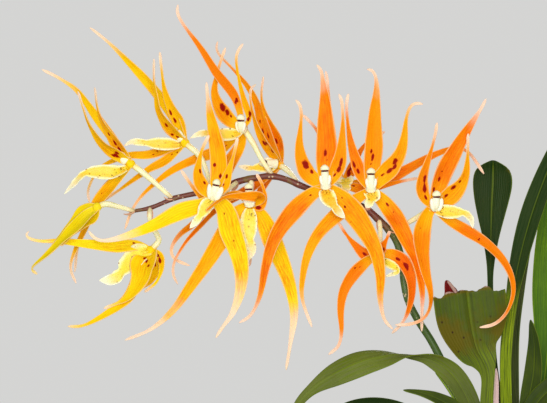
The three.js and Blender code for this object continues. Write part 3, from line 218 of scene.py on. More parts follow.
         (-18.4, -1, -37.5), (-19.9, -2, -45), (-25, -3, -49.5)),
        ("lateral", 7.3, (6, 0, 0.5), (12.2, 0, -3), (15.9, 0, -10.3), (16.6, -1, -19.3), (14.7, -2, -28),
         (11.5, -3, -34), (6.5, -4, -39)),
        ("petal", 6.2, (-6, 1, 0), (-12, 1, 5.5), (-16.5, 0, 11), (-20, -2, 16.5)),
        ("petal", 5.6, (2, -2, 4.5), (4, -3, 8), (5.5, -4, 12)),
        ("dorsal", 5.6, (-3, 5, 8), (-7, 10, 16), (-9, 13, 24), (-9, 13, 31)),
        lip=(4.5, (1.5, -3.5, -2), (4, -5, -3.5), (8, -7, -5.8), (9.5, -9, -8), (6.5, -10, -9.3),
         (3, -10, -10.5)),
        column=[(0.5, -3.2, -0.5), (0.5, -5.5, -0.5), (0.5, -6.5, -1)],
    ),
    flower(
        "11", "orange", (-81, 14, 358), (0.1, -0.99, 0.1),
        [(-80, 0, 350), (-80.3, 5, 352), (-81, 10, 355.5)],
        ("dorsal", 5, (-4, 1, 14), (-7, 1, 27), (-7, 0, 42), (-7.5, -1, 51), (-8.5, -2, 57)),
        ("petal", 5, (-4.5, -1, 10), (-9.5, -3, 20), (-14, -4, 28.5), (-20, -3, 35)),
        ("petal", 5.6, (4.5, 0, 7), (8.5, 0, 16), (14.5, 1, 23), (21.5, 0, 26.5)),
        ("lateral", 6.7, (11, 2, 0), (21, 2, 1.5), (33.5, 1, 8), (44.5, 0, 14), (56, 0, 18), (63.5, 0, 16),
         (71.5, 2, 5)),
        ("lateral", 5.6, (11, -1, -2.5), (21, -2, -0.5), (30, -2, 1.5), (38, -1, 3)),
        lip=(9.4, (0.2, -3.5, 3), (1, -7, 1.3), (1.5, -9.5, -1.2), (1.6, -11, -4.6)),
        column=[(-1, -3.4, 1.2), (-3.4, -4.6, 3), (-5.4, -5.4, 4.8)],
    ),
    flower(
        "12", "lime", (-203.5, -10, 346.5), (-0.45, -0.75, 0.5),
        [(-185.5, 0, 344.5), (-192.5, -4, 346.5), (-199, -8, 348)],
        ("lateral", 9.4, (-5, -2, -3.5), (-11, -4, -9.5), (-18, -5, -16.5), (-25, -5, -23.5),
         (-31, -4, -28.5), (-32.5, -3, -31), (-29.5, -1, -33.5)),
        ("petal", 9, (-6, 2, -1.5), (-12, 2, -7), (-18, 1, -13.5), (-23, 0, -19.5)),
        ("petal", 6.8, (-1.8, -1, -4.6), (-7, -2, -9), (-13, -2, -14.3), (-18, -2, -19.3)),
    ),
    flower(
        "13", "yellow", (-177, -8, 325), (-0.5, -0.85, 0.1),
        [(-177.5, 0, 346), (-177.3, -3, 339), (-174, -6, 333), (-173, -7, 329.5)],
        ("hooked", 6.7, (-7.5, -1, 2.5), (-17.5, -1, 2), (-30, -1, 3), (-45, 0, 4.5), (-55, 1, 4.5),
         (-61, 2, 6), (-62.5, 2, 8), (-60.5, 2, 9.5)),
        ("lateral", 8.4, (-3, -3, -4), (-5.5, -4, -11), (-8, -4, -18), (-12.5, -3, -25), (-23.5, -1, -32.5),
         (-33.5, 1, -37.5), (-41.5, 2, -38)),
        ("petal", 15.5, (-2, -5, -2.2), (-4.2, -7.5, -7.5), (-5, -8, -13), (-7.6, -7, -18.8),
         (-11.5, -5, -23.5), (-17, -3, -26.5), (-23.5, -1, -29)),
        ("petal", 4.6, (4.6, -1, -3), (5.4, -2, -9.5), (2.8, -2.5, -16), (-3, -2.5, -20.8)),
        ("dorsal", 9, (1, 2, -5), (1, 3.5, -11), (-1.5, 4, -16), (-6.5, 4, -20.5)),
        lip=(12, (-0.5, -1.5, 0.5), (-5.5, -2.2, -2), (-11.5, -1.2, -7), (-15, -0.5, -11.5), (-19, -1, -14.5),
         (-25.5, -2, -15)),
    ),
]

# The spike's x, y, z and radius
SPIKE_ROUTE = [
    (-16, 9, 84, 2.3), (-15.5, 8.5, 150, 2.3), (-15, 7, 205, 2.2), (-18, 5, 235, 2.1), (-23.5, 4, 250, 2),
    (-29.5, 3, 265, 2), (-36.5, 2, 279, 1.9), (-43.5, 1, 290, 1.9), (-48.5, 0, 300, 1.8),
    (-50.5, 0, 309, 1.8), (-51.5, 0, 319, 1.8), (-54, 0, 328.5, 1.7), (-58.5, 0, 335.5, 1.7),
    (-63.5, 0, 340.5, 1.7), (-70, 0, 346, 1.6), (-80, 0, 350, 1.6), (-90, 0, 352.5, 1.6),
    (-101.5, 0, 357, 1.5), (-110, 0, 360.5, 1.5), (-117.5, 0, 362, 1.5), (-125, 0, 361, 1.5),
    (-132.5, 0, 359.5, 1.5), (-145, 0, 355, 1.4), (-156, 0, 353, 1.3), (-165, 0, 351, 1.2),
    (-170, 0, 349, 1.1), (-177.5, 0, 346, 1), (-185.5, 0, 344.5, 0.8),
]

# Each pseudobulb: its foot, its top, half its width and its turn in degrees
BULBS = [
    ("pseudobulb_1", (-17, -8, 78), (-12, -6, 204), 14.5, 8),
    ("pseudobulb_2", (12, 3, 78), (6, 4, 212), 14, -10),
    ("pseudobulb_3", (-8, 27, 78), (-8, 24, 182), 13, 18),
    ("pseudobulb_4", (36, -8, 78), (32, -8, 168), 11, 30),
]

# Each leaf: its slot, the way that it faces, its steps, and its route of x, y, z, width and turn
LEAVES = [
    ("leaf_01", "leaf", (0.3, -1, 0.35), 15, (-14, -6, 198, 3.5, 0), (-14, -9, 218, 5, 0),
     (-14.5, -11, 236, 7.5, 0), (-18.5, -12, 250, 10.5, 5), (-26.5, -13, 263, 11, 15),
     (-36.5, -14, 270, 8, 45), (-45.5, -15, 271.8, 6, 85), (-57.5, -16, 271.5, 12, 140),
     (-71.5, -18, 269, 14.5, 160), (-85, -20, 263.5, 12, 168), (-96.5, -22, 256.5, 6, 172),
     (-104, -23, 248.5, 4, 175), (-108.5, -24, 238, 1.4, 178)),
    ("leaf_02", "leaf", (0.2, -1, 0.3), 10, (-9.5, -7, 199, 3, 0), (-9, -9, 220, 5, 0),
     (-9.8, -11, 246, 6.5, 0), (-9.2, -12, 262, 7, 0), (-11, -13, 270, 14, 0), (-14.2, -15, 277, 25, 3),
     (-16.8, -18, 289, 35, 6), (-19.4, -22, 306.5, 36.5, 8)),
    ("leaf_03", "leaf", (-0.1, -1, 0.1), 10, (3, 7, 207, 3, 0), (0, 11, 235, 3.5, 0), (-5, 15, 270, 3.5, 0),
     (-6.3, 18, 305, 2.8, 0), (-6.2, 19, 318, 4, 0), (-6, 20, 330, 8, 0), (-5.8, 21, 341, 13.5, 0),
     (-5.4, 22, 351, 18.2, 0), (-5, 22, 358, 20.2, 0), (-4.9, 22, 363, 19.4, 0), (-4.8, 21.6, 367, 15.5, 0),
     (-4.8, 21.2, 369.3, 10, 0), (-4.8, 21, 370.2, 5, 0)),
    ("leaf_04", "leaf", (-0.3, -1, 0.1), 13, (4.5, 2, 207, 3.5, 0), (1.5, 0, 228, 5, 0),
     (0.5, -2, 250, 5.8, 0), (0.3, -3, 275, 6, 0), (3, -4, 300, 6.5, 0), (7, -6, 322, 9.5, 0),
     (12.5, -9, 343, 11, 0), (20, -13, 364, 10, 0), (29, -18, 384, 7, 0), (38, -23, 399, 2, 0)),
    ("leaf_05", "pale_leaf", (-0.1, -1, 0.1), 13, (9.5, 4, 207, 3.5, 0), (13, 6, 226, 6, 0),
     (19, 9, 252, 10, 0), (22.5, 12, 280, 14, 0), (22.5, 15, 305, 16, 0), (25, 19, 332, 16, 0),
     (30, 24, 357, 14, 0), (39, 29, 380, 9, 0), (48, 33, 395, 2, 0)),
    ("leaf_06", "leaf", (-0.5, -1, 0.1), 12, (6.5, 5.5, 206, 3, 0), (6.3, 9.5, 230, 4, 0),
     (5.5, 14, 255, 5, 0), (6, 17, 282, 5, 0), (8.5, 20, 305, 5.5, 0), (12, 23, 325, 5, 0),
     (17, 26, 350, 5, 0), (24, 28, 372, 1.5, 0)),
    ("leaf_07", "leaf", (-0.4, -1, 0.2), 8, (6.5, -1, 205, 3, 0), (8.5, -6, 225, 5, 0),
     (10.5, -11, 248, 8.5, 0), (13, -16, 265, 9.5, 0), (13, -22, 280, 6, 0), (11, -27, 291, 1.5, 0)),
    ("leaf_08", "leaf", (-0.5, -0.8, 0.6), 10, (31, -8, 163, 3.5, 0), (24, -15, 190, 6, 0),
     (13, -20, 225, 9, 0), (11, -23, 243, 11.5, 0), (17, -25, 254, 12.5, 0), (27, -26, 260, 12, 0),
     (38, -27, 260, 9, 0), (50, -28, 253, 2, 0)),
    ("leaf_09", "leaf", (0.3, -0.8, 0.7), 9, (-14, -10, 195, 3, 0), (-13, -19, 212, 6, 0),
     (-17, -23, 232, 10, 0), (-25, -26, 246, 11, 0), (-34, -28, 252, 8, 0), (-43, -30, 255, 4, 0),
     (-52, -31, 256.5, 1.2, 0)),
    ("leaf_10", "pale_leaf", (1, -0.35, 0.5), 8, (-15.5, -3, 195, 3, 0), (-17, -4, 215, 5, 0),
     (-18, -5, 232, 6, 0), (-23, -5.5, 247, 6, 0), (-29, -5.5, 257, 4.5, 0), (-35, -5, 264.5, 1.2, 0)),
    ("leaf_11", "leaf", (0.2, -0.6, 0.9), 11, (-9, 24, 176, 3.5, 0), (-15, 26, 205, 7, 0),
     (-30, 26, 230, 12, 0), (-50, 24, 243, 15, 0), (-72, 20, 245, 14, 0), (-92, 15, 237, 9, 0),
     (-110, 10, 224, 1.5, 0)),
    ("dry_sheath", "dry_sheath", (0.5, -1, 0.1), 6, (1.5, 3, 205, 2, 0), (-3, 1, 222, 3, 0),
     (-4.5, -1, 245, 3.2, 0), (-4.5, -2, 258, 3, 0), (-4.5, -2, 266, 1.2, 0)),
    ("torn_flap", "dry_sheath", (0.4, -0.9, 0.2), 5, (-27, -19.6, 299, 6, 0), (-27.6, -20.4, 303, 8, 0),
     (-28.8, -20.9, 306.5, 5.5, 0), (-30.2, -21.1, 310.2, 1.4, 0)),
]

# Red-brown blotches, by flower and tepal: place along (0 to 1), place across (-1 to 1), length and width
SPOTS = {
    "01": {1: [(0.31, -0.1, 4, 1.5), (0.22, -0.1, 3.4, 1.3), (0.43, -0.1, 2.2, 1)]},
    "02": {1: [(0.37, -0.5, 3.4, 1.3), (0.28, -0.4, 3.6, 1.3)], 2: [(0.29, -0.1, 2, 0.9)]},
    "03": {1: [(0.33, 0.3, 5, 3.2), (0.25, 0.4, 4, 2.6), (0.18, 0.5, 2, 1.2)]},
    "04": {1: [(0.28, -0.2, 3, 1.2)], 2: [(0.28, -0.4, 3, 1.2), (0.23, 0.1, 3.4, 1.3), (0.35, -0.4, 2, 1)]},
    "05": {
        1: [(0.45, 0.5, 2.4, 1.2), (0.25, 0.5, 2.6, 1.2)],
        2: [(0.38, -0.1, 2.6, 1.3), (0.24, -0.1, 1.6, 0.9)],
    },
    "06": {1: []},
    "07": {
        0: [(0.27, -0.1, 3.8, 1.7), (0.21, 0.1, 1.2, 0.7)],
        1: [(0.31, 0.3, 5.4, 2.9), (0.21, 0.55, 3, 1.7)],
        2: [(0.29, 0.3, 5.4, 1.7), (0.22, 0.3, 3.6, 2.1), (0.15, 0.1, 2, 1.1)],
        3: [(0.1, 0, 1.4, 1.1)],
        4: [(0.17, 0.3, 1.7, 1.2), (0.27, 0.7, 1.2, 0.8), (0.12, -0.1, 1.2, 0.9)],
    },
    "08": {
        0: [(0.3, -0.2, 2.6, 1.5), (0.26, 0, 4.2, 1.6), (0.2, -0.1, 1.2, 0.8)],
        1: [(0.29, -0.5, 4.4, 1.6), (0.22, -0.2, 3, 1.4)],
        2: [(0.34, 0, 3.4, 2.7), (0.3, 0.3, 3.2, 1.7), (0.24, 0.1, 3.6, 2.2), (0.17, -0.1, 2, 1.2)],
        4: [(0.14, -0.2, 2.6, 1.5), (0.2, -0.2, 1.2, 0.8)],
    },
    "09": {
        0: [(0.23, -0.2, 2.8, 1.5), (0.14, -0.5, 2.8, 1.4), (0.3, -0.2, 1.4, 0.8)],
        1: [(0.36, 0.4, 4.4, 1.6), (0.24, 0.4, 6, 1.8), (0.14, 0.2, 3.2, 1.4)],
        2: [(0.33, -0.5, 3.4, 2), (0.2, -0.3, 2.6, 1.4), (0.43, -0.4, 1.8, 1)],
        3: [(0.16, 0.2, 1.4, 0.9)],
    },
    "10": {1: [(0.3, 0, 4.6, 2.1), (0.2, 0.2, 3, 1.4)], 2: [(0.26, 0, 3, 1.5)]},
    "12": {0: [], 1: [], 2: [], 3: [], 4: []},
}
PETAL_SPOTS = 3
SEPAL_SPOTS = 2

# How far each tepal turns from its flower's colour to gold (1) or to the deep tone (-1)
GOLD = {
    "01": (0.3, 0.2, 0.35, 0.1, 0.1),
    "02": (0.3, 0.2, 0.45, 0.2, 0.1),
    "03": (-0.7, 0.1, 0.3, 0.1, 0),
    "04": (0.4, 0.4, 0.2, 0, 0),
    "05": (0.25, 0.2, 0.3, 0.95, 0.95),
    "06": (0.1, 0, 0.1, 0.3, 0.85),
    "07": (0, 0.1, 0.1, 0.1, 0.3),
    "08": (0.05, 0.1, 0.25, 0.3, 0.1),
    "09": (0, 0.15, 0.3, 0, -0.35),
    "10": (-0.35, -0.4, -0.4, -0.3, -0.3),
    "13": (1, 0.6, 0.6, 0.8, 0.5),
}
# How much further down each tepal its pale tip reaches (a share of its length); the pale tip is partly
# painted highlight
PALE_HIGHLIT_TIPS = {
    "05": (0, 0, 0, 0.17, 0.17),
    "06": (0, -0.4, 0, 0.1, 0.17),
    "09": (0, 0, 0, 0, -0.08),
    "12": (-0.12, -0.12, -0.12, -0.12, -0.12),
    "13": (0, -0.1, -0.05, 0, 0),
}
PALE_HIGHLIT_TIP_REACH = 0.03
NO_CHANGE = (0, 0, 0, 0, 0)
# How far each lip turns from cream to orange-yellow (0 to 1)
LIP_WARMTH = {
    "01": 0.35, "02": 0.4, "03": 0.4, "04": 0.5, "05": 0.1, "06": 0.05, "07": 0.8, "08": 0.45, "09": 0.4,
    "10": 0.1, "11": 0, "13": 0.1,
}


# ---------------------------------------------------------------- mesh tools


def only(*pieces):
    """Makes these objects the selected ones, and the first of them the active one."""
    bpy.ops.object.select_all(action="DESELECT")
    for piece in pieces:
        piece.select_set(True)
    bpy.context.view_layer.objects.active = pieces[0]


def places(mesh):
    """The vertices of a mesh as rows of x, y and z."""
    flat = np.empty(len(mesh.vertices) * 3)
    mesh.vertices.foreach_get("co", flat)
    return flat.reshape(-1, 3)


def place(mesh, points):
    mesh.vertices.foreach_set("co", np.asarray(points, float).ravel())
    mesh.update()


def mark(mesh, **marks):
    """A number for each vertex, or one for all of them, which a material reads by its name."""
    for name, values in marks.items():
        attribute = mesh.attributes.get(name) or mesh.attributes.new(name, "FLOAT", "POINT")
        values = np.broadcast_to(np.asarray(values, np.float32), len(mesh.vertices))
        attribute.data.foreach_set("value", np.ascontiguousarray(values))


def marked(mesh, name):
    values = np.empty(len(mesh.vertices), np.float32)
    mesh.attributes[name].data.foreach_get("value", values)
    return values


def set_uv(mesh, across, along):
    """Lays the surface pattern's map out by vertex."""
    corners = np.empty(len(mesh.loops), np.int64)
    mesh.loops.foreach_get("vertex_index", corners)
    layer = mesh.uv_layers.active or mesh.uv_layers.new(name="UVMap")
    layer.data.foreach_set("uv", np.stack([across, along], axis=1)[corners].ravel())


def apply(piece, kind, **settings):
    """Adds a modifier to a piece and applies it."""
    only(piece)
    modifier = piece.modifiers.new(kind.title(), kind)
    for key, value in settings.items():
        setattr(modifier, key, value)
    bpy.ops.object.modifier_apply(modifier=modifier.name)


def refine(piece):
    apply(piece, "SUBSURF", levels=1, render_levels=1)


def edit(piece, *steps):
    """Runs edit-mode steps on a piece with all of it selected. A step is an operator and its settings."""
    only(piece)
    bpy.ops.object.mode_set(mode="EDIT")
    bpy.ops.mesh.select_all(action="SELECT")
    for step, settings in steps:
        step(**settings)
    bpy.ops.object.mode_set(mode="OBJECT")


def face_out(piece):
    edit(piece, (bpy.ops.mesh.normals_make_consistent, dict(inside=False)))


def close_ends(piece, *before):
    """Fills the open rings of a tube."""
    edit(
        piece,
        *before,
        (bpy.ops.mesh.select_all, dict(action="DESELECT")),
        (bpy.ops.mesh.select_non_manifold, {}),
        (bpy.ops.mesh.fill_holes, dict(sides=0)),
    )
    face_out(piece)


def smooth(piece):
    only(piece)
    bpy.ops.object.shade_smooth()


def join(name, pieces):
    """Joins pieces into one named object."""
    only(*pieces)
    if len(pieces) > 1:
        bpy.ops.object.join()
    return rename(bpy.context.view_layer.objects.active, name)


def rename(piece, name):
    piece.name = name
    piece.data.name = name
    return piece


def dress(piece, finish):
    piece.data.materials.clear()
    piece.data.materials.append(FINISH[finish])


def finish_piece(piece, slot, node, finish=None):
    """Hands a finished piece over: it rides on the plant's one body and stands for the solid named."""
    dress(piece, finish or slot)
    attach(piece, "root")
    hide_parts(node)


# ---------------------------------------------------------------- routes and swept forms


def spline(rows, count):
    """Rows of numbers as one smooth curve, read at count + 1 places that are evenly spaced by length."""
    rows = np.asarray(rows, float)
    knots = np.vstack([2 * rows[0] - rows[1], rows, 2 * rows[-1] - rows[-2]])
    last = len(rows) - 1
    t = np.linspace(0, last, 24 * last + 1)
    i = np.minimum(t.astype(int), last - 1)
    u = (t - i)[:, None]
    a, b, c, d = knots[i], knots[i + 1], knots[i + 2], knots[i + 3]
    bend = (2 * a - 5 * b + 4 * c - d) * u**2
    twist = (3 * b - a - 3 * c + d) * u**3
    fine = 0.5 * (2 * b + (c - a) * u + bend + twist)
    reach = np.concatenate([[0], np.cumsum(np.linalg.norm(np.diff(fine[:, :3], axis=0), axis=1))])
    even = np.linspace(0, reach[-1], count + 1)
    points = np.stack([np.interp(even, reach, column) for column in fine.T], axis=1)
    return points, reach[-1]


def unit(vectors):
    return vectors / np.maximum(np.linalg.norm(vectors, axis=-1, keepdims=True), 1e-9)


def bell(s, centre, reach):
    """1 at the centre, and nearly 0 at twice its reach."""
    return np.exp(-(((s - centre) / reach) ** 2))


def ramp(s, begin, end):
    """0 before begin, 1 after end, and straight between."""
    return np.clip((s - begin) / (end - begin), 0, 1)


def guides(points, face, turn):
    """At each point of a route: the way out of its face, and the way across it."""
    along = unit(np.gradient(points, axis=0))
    face = unit(np.asarray(face, float))
    out = unit(face - (along @ face)[:, None] * along)
    side = np.cross(along, out)
    angle = np.radians(turn)[:, None]
    turned = out * np.cos(angle) - side * np.sin(angle)
    return turned, np.cross(along, turned)


def read(table, s):
    """Reads rows that are evenly spaced from 0 to 1 at any places between."""
    spots = np.linspace(0, 1, len(table))
    return np.stack([np.interp(s, spots, column) for column in np.asarray(table).T], axis=1)


def grid(columns, steps):
    """A flat grid as an object, with its vertices' places across (-1 to 1) and along (0 to 1)."""
    bpy.ops.mesh.primitive_grid_add(x_subdivisions=columns, y_subdivisions=steps, size=1)
    piece = bpy.context.object
    flat = places(piece.data)
    return piece, 2 * flat[:, 0], flat[:, 1] + 0.5


def whole_reach(t):
    return 1


def blade(rows, face, size, width, curl, thickness, lift=None, turn=np.zeros_like, centre=(0, 0, 0),
          reach=whole_reach):
    """A thin sheet that follows a route, such as a leaf or a petal, with a closed edge.

    width and curl are functions of the place along it: millimetres, and the half angle of the arc that the
    sheet is curled into, in degrees. lift moves a place out of the sheet, turn rolls the sheet about the
    route, and reach gives the share of the route that it covers at each place across."""
    steps, columns = size
    piece, t, s = grid(columns, steps)
    points, length = spline(rows, 4 * steps)
    middle = points[:, :3] + np.asarray(centre, float)
    out, side = guides(middle, face, turn(np.linspace(0, 1, len(points))))
    s = s * reach(t)
    wide = width(s)
    angle = np.radians(curl(s))
    half = wide / 2 / np.sin(angle)
    over = (half * np.sin(angle * t))[:, None]
    up = half * (np.cos(angle) - np.cos(angle * t))
    if lift is not None:
        up = up + lift(s, t, wide)
    outward = read(out, s)
    place(piece.data, (read(middle, s) + read(side, s) * over + outward * up[:, None]) * MM)
    set_uv(piece.data, t * wide / 20, s * length / 10)
    mark(piece.data, along=s, across=t)
    group = piece.vertex_groups.new(name="thickness")
    for index, value in enumerate(1 - EDGE_THINNING * np.abs(t) ** 2):
        group.add([index], float(value), "REPLACE")
    apply(piece, "SOLIDIFY", thickness=thickness * MM, offset=0, vertex_group="thickness",
          thickness_vertex_group=0)
    count = len(s)
    shell = places(piece.data)
    front = np.einsum("ij,ij->i", shell[:count] - shell[count:2 * count], outward) > 0
    mark(piece.data, back=np.concatenate([~front, front]))
    refine(piece)
    piece.vertex_groups.clear()
    smooth(piece)
    face_out(piece)
    return piece, length


def tube(rows, sides, steps, swell=None):
    """A round stem with closed ends along rows of x, y, z and radius. swell shapes it by place and angle."""
    piece, t, s = grid(sides, steps)
    points, length = spline(rows, 4 * steps)
    out, side = guides(points[:, :3], (0.1, 1, 0.05), np.zeros(len(points)))
    angle = math.pi * t
    girth = np.interp(s, np.linspace(0, 1, len(points)), points[:, 3])
    if swell is not None:
        girth = girth * swell(s, angle)
    ring = read(out, s) * np.cos(angle)[:, None] + read(side, s) * np.sin(angle)[:, None]
    place(piece.data, (read(points[:, :3], s) + ring * girth[:, None]) * MM)
    set_uv(piece.data, (t + 1) * girth.mean() * math.pi / 10, s * length / 10)
    mark(piece.data, along=s, across=t)
    close_ends(piece, (bpy.ops.mesh.remove_doubles, dict(threshold=1e-6)))
    smooth(piece)
    return piece


def wrap(columns, steps, shape):
    """A grid closed into a round form. shape turns the place along and the angle about into points."""
    piece, t, s = grid(columns, steps)
    place(piece.data, shape(s, math.pi * (t + 1)) * MM)
    set_uv(piece.data, t, s)
    mark(piece.data, along=s, across=t)
    edit(piece, (bpy.ops.mesh.remove_doubles, dict(threshold=2e-6)))
    smooth(piece)
    return piece


def ball(centre, radii, direction=(0, 0, 1), segments=20, rings=12, **marks):
    """A rounded knob: an ellipsoid with its long way turned along a direction."""
    bpy.ops.mesh.primitive_uv_sphere_add(segments=segments, ring_count=rings, radius=1)
    piece = bpy.context.object
    turn = np.array(Vector(direction).to_track_quat("Z", "Y").to_matrix())
    place(piece.data, ((places(piece.data) * radii) @ turn.T + np.asarray(centre, float)) * MM)
    mark(piece.data, **marks)
    smooth(piece)
    return piece


# ---------------------------------------------------------------- finishes


class Value:
    """A number that a material works out at each place, for use in sums."""

    def __init__(self, finish, socket):
        self.finish = finish
        self.socket = socket

    def work(self, operation, first, second=0.0):
        return self.finish.value("Math", {0: first, 1: second}, 0, operation=operation)

    def __add__(self, other):
        return self.work("ADD", self, other)

    def __sub__(self, other):
        return self.work("SUBTRACT", self, other)

    def __rsub__(self, other):
        return self.work("SUBTRACT", other, self)

    def __mul__(self, other):
        return self.work("MULTIPLY", self, other)

    def __abs__(self):
        return self.work("ABSOLUTE", self)

    def sine(self):
        return self.work("SINE", self)

    def rise(self, low, high):
        """Rises smoothly from 0 at low to 1 at high. low may be the greater one."""
        inputs = {"Value": self, "From Min": low, "From Max": high}
        return self.finish.value("MapRange", inputs, "Result", interpolation_type="SMOOTHSTEP")


class Finish:
    """A material and the nodes that paint it, one layer of colour over another."""

    def __init__(self, name, **sockets):
        self.material = bpy.data.materials.new(name)
        self.material.use_nodes = True
        self.tree = self.material.node_tree
        self.shader = self.tree.nodes["Principled BSDF"]
        for socket, value in sockets.items():
            self.feed(self.shader.inputs[socket.replace("_", " ")], value)

    def feed(self, socket, value):
        if isinstance(value, Value):
            self.tree.links.new(value.socket, socket)
        else:
            socket.default_value = value

    def value(self, kind, inputs, output, **settings):
        """Adds a node and returns one of its outputs."""
        node = self.tree.nodes.new("ShaderNode" + kind)
        for name, setting in settings.items():
            setattr(node, name, setting)
        for name, fed in inputs.items():
            self.feed(node.inputs[name], fed)
        return Value(self, node.outputs[output])

    def read(self, names):
        """The marks on a mesh, by their names."""
        return [self.value("Attribute", {}, "Fac", attribute_name=name) for name in names.split()]

    def uv(self, across, along):
        source = self.value("UVMap", {}, "UV")
        return self.value("Mapping", {"Vector": source, "Scale": (across, along, 1)}, "Vector")

    def place(self, scale=(1, 1, 1)):
        source = self.value("TexCoord", {}, "Object")
        return self.value("Mapping", {"Vector": source, "Scale": scale}, "Vector")

    def noise(self, where, scale, detail=3, roughness=0.5):
        inputs = {"Vector": where, "Scale": scale, "Detail": detail, "Roughness": roughness}
        return self.value("TexNoise", inputs, "Fac")

    def cells(self, where, scale):
        return self.value("TexVoronoi", {"Vector": where, "Scale": scale}, "Distance")

    def mix(self, share, first, second):
        first, second = (tone if isinstance(tone, Value) else shader_tone(tone) for tone in (first, second))
        return self.value("Mix", {0: share, 6: first, 7: second}, 2, data_type="RGBA")

    def start(self, share, first, second):
        """The lowest layer: a mix of two colours."""
        self.colour = self.mix(share, first, second)

    def lay(self, share, colour):
        """One more layer of colour."""
        self.colour = self.mix(share, self.colour, colour)

    def bump(self, height, strength, distance, **under):
        inputs = {"Height": height, "Strength": strength, "Distance": distance, **under}
        return self.value("Bump", inputs, "Normal")

    def done(self, roughness, normal):
        for socket, value in (("Base Color", self.colour), ("Roughness", roughness), ("Normal", normal)):
            self.feed(self.shader.inputs[socket], value)
        return self.material


def shader_tone(colour):
    """A colour as it is seen, from 0 to 255, in the linear values that a shader takes."""
    seen = [value / 255 for value in colour]
    linear = [value / 12.92 if value <= 0.04045 else ((value + 0.055) / 1.055) ** 2.4 for value in seen]
    return (*linear, 1.0)


# Each colour of tepal: its main tone, its deep tone, its foot and its back
TEPAL_TONES = {
    "orange": ((252, 146, 0), (230, 92, 0), (255, 192, 10), (240, 138, 0)),
    "amber": ((250, 166, 0), (234, 114, 0), (255, 208, 14), (243, 164, 4)),
    "yellow": ((247, 186, 2), (226, 132, 0), (253, 220, 24), (241, 192, 10)),
    "lime": ((242, 216, 10), (214, 176, 0), (246, 226, 40), (236, 212, 24)),
}
PETAL_GOLD = (255, 224, 10)
BLOTCH_RED = (146, 14, 0)
BLOTCH_HALO = (206, 60, 2)
# A pale pink margin, partly the tepal's own pale margin and partly painted backlight glow along its edges
MARGIN_PINK_AND_BACKLIGHT = (255, 204, 150)
# Pale pink tips, partly the tepal's own pale tip and partly a painted highlight
TIP_PINK_AND_HIGHLIGHT = (255, 226, 202)


def tepal_finish(name):
    main, deep, foot, rear = TEPAL_TONES[name]
    finish = Finish(f"tepal_{name}", Subsurface_Weight=0.06, Subsurface_Scale=0.001, Specular_IOR_Level=0.08)
    along, across, shade, gold, blotch, pale, back = finish.read("along across shade gold blotch pale back")
    where = finish.place()
    streaks = finish.noise(finish.uv(9, 0.7), 1.6, 4, 0.6)
    patches = finish.noise(where, 95)
    grain = finish.noise(where, 700, 2)
    edge = abs(across)
    wobble = patches - 0.5
    depth = (streaks * 0.9 + patches * 0.5 + shade * 0.12 - edge * 0.1).rise(0.46, 1.02)
    veins = (across * 21).sine() * along.rise(0.7, 0.35)
    marking = blotch + (finish.noise(where, 420) - 0.5) * 1.3
    showing = 1.0 - back * 0.6
    finish.start(depth, main, deep)
    finish.lay(back * 0.55, rear)
    finish.lay(gold * depth.rise(1.2, 0.1), PETAL_GOLD)
    finish.lay(gold.rise(0, -1), deep)
    finish.lay((along + wobble * 0.16).rise(0.24, 0.03) * 0.85, foot)
    finish.lay(veins.rise(0.2, 1) * 0.22, deep)
    # Pale pink along both edges: partly the tepal's own margin, partly painted backlight glow
    finish.lay((edge + wobble * 0.35).rise(0.82, 1) * 0.65, MARGIN_PINK_AND_BACKLIGHT)
    # Pale pink towards the tip: partly the tepal's own tone, partly a painted highlight
    finish.lay((along + pale + wobble * 0.25).rise(0.74, 1) * 0.85, TIP_PINK_AND_HIGHLIGHT)
    finish.lay(marking.rise(-0.3, 0.12) * (showing * 0.6), BLOTCH_HALO)
    finish.lay(marking.rise(-0.06, 0.3) * showing, BLOTCH_RED)
    return finish.done(streaks * 0.2 + 0.48, finish.bump(veins * 0.35 + grain * 0.2, 0.2, 0.00025))


def lip_finish():
    """Cream and yellow, with olive and red-brown speckles, and painted shadow, dark red-brown, in the gap
    under the anther cap.
    """
    finish = Finish("lip_cream", Subsurface_Weight=0.1, Subsurface_Scale=0.001, Specular_IOR_Level=0.25)
    along, across, eye, warm, green = finish.read("along across eye warm green")
    where = finish.place()
    soft = finish.noise(where, 160)
    grain = finish.noise(where, 900, 2)
    edge = abs(across)
    wobble = soft - 0.5
    inner = (edge + wobble * 0.8).rise(0.92, 0.5)
    few = finish.noise(where, 230).rise(0.46, 0.6) * along.rise(0.95, 0.6)
    speckles = finish.cells(where, 520).rise(0.34, 0.2) * few
    finish.start(soft.rise(0.35, 0.7), (255, 254, 226), (255, 246, 160))
    finish.lay(inner * 0.85, (255, 232, 36))
    finish.lay(inner * warm, (254, 176, 8))
    finish.lay(along.rise(0.5, 0.1) * edge.rise(0.7, 0.2) * 0.3, (222, 222, 30))
    finish.lay((along + wobble * 0.3).rise(0.6, 0.95) * 0.7, (255, 254, 238))
    finish.lay(green, (236, 240, 110))
    finish.lay(speckles * 0.8, (128, 84, 8))
    # Dark red-brown on the ball in the gap under the anther cap: painted shadow
    finish.lay(eye, (96, 20, 4))
    return finish.done(soft * 0.2 + 0.36, finish.bump(grain, 0.2, 0.00025))


def stalk_finish():
    """Pale and faintly streaked, browner at its foot and warmer at the flower."""
    finish = Finish("pedicel_pale", Subsurface_Weight=0.1, Subsurface_Scale=0.0015, Specular_IOR_Level=0.3)
    (along,) = finish.read("along")
    streaks = finish.noise(finish.uv(10, 0.6), 2)
    grain = finish.noise(finish.place(), 1200, 2)
    finish.start(streaks.rise(0.35, 0.7), (255, 254, 218), (244, 242, 158))
    finish.lay(along.rise(0.22, 0) * 0.6, (168, 126, 70))
    finish.lay(along.rise(0.8, 1) * 0.6, (250, 196, 60))
    return finish.done(grain * 0.2 + 0.32, finish.bump(grain + streaks * 1.5, 0.25, 0.0003))


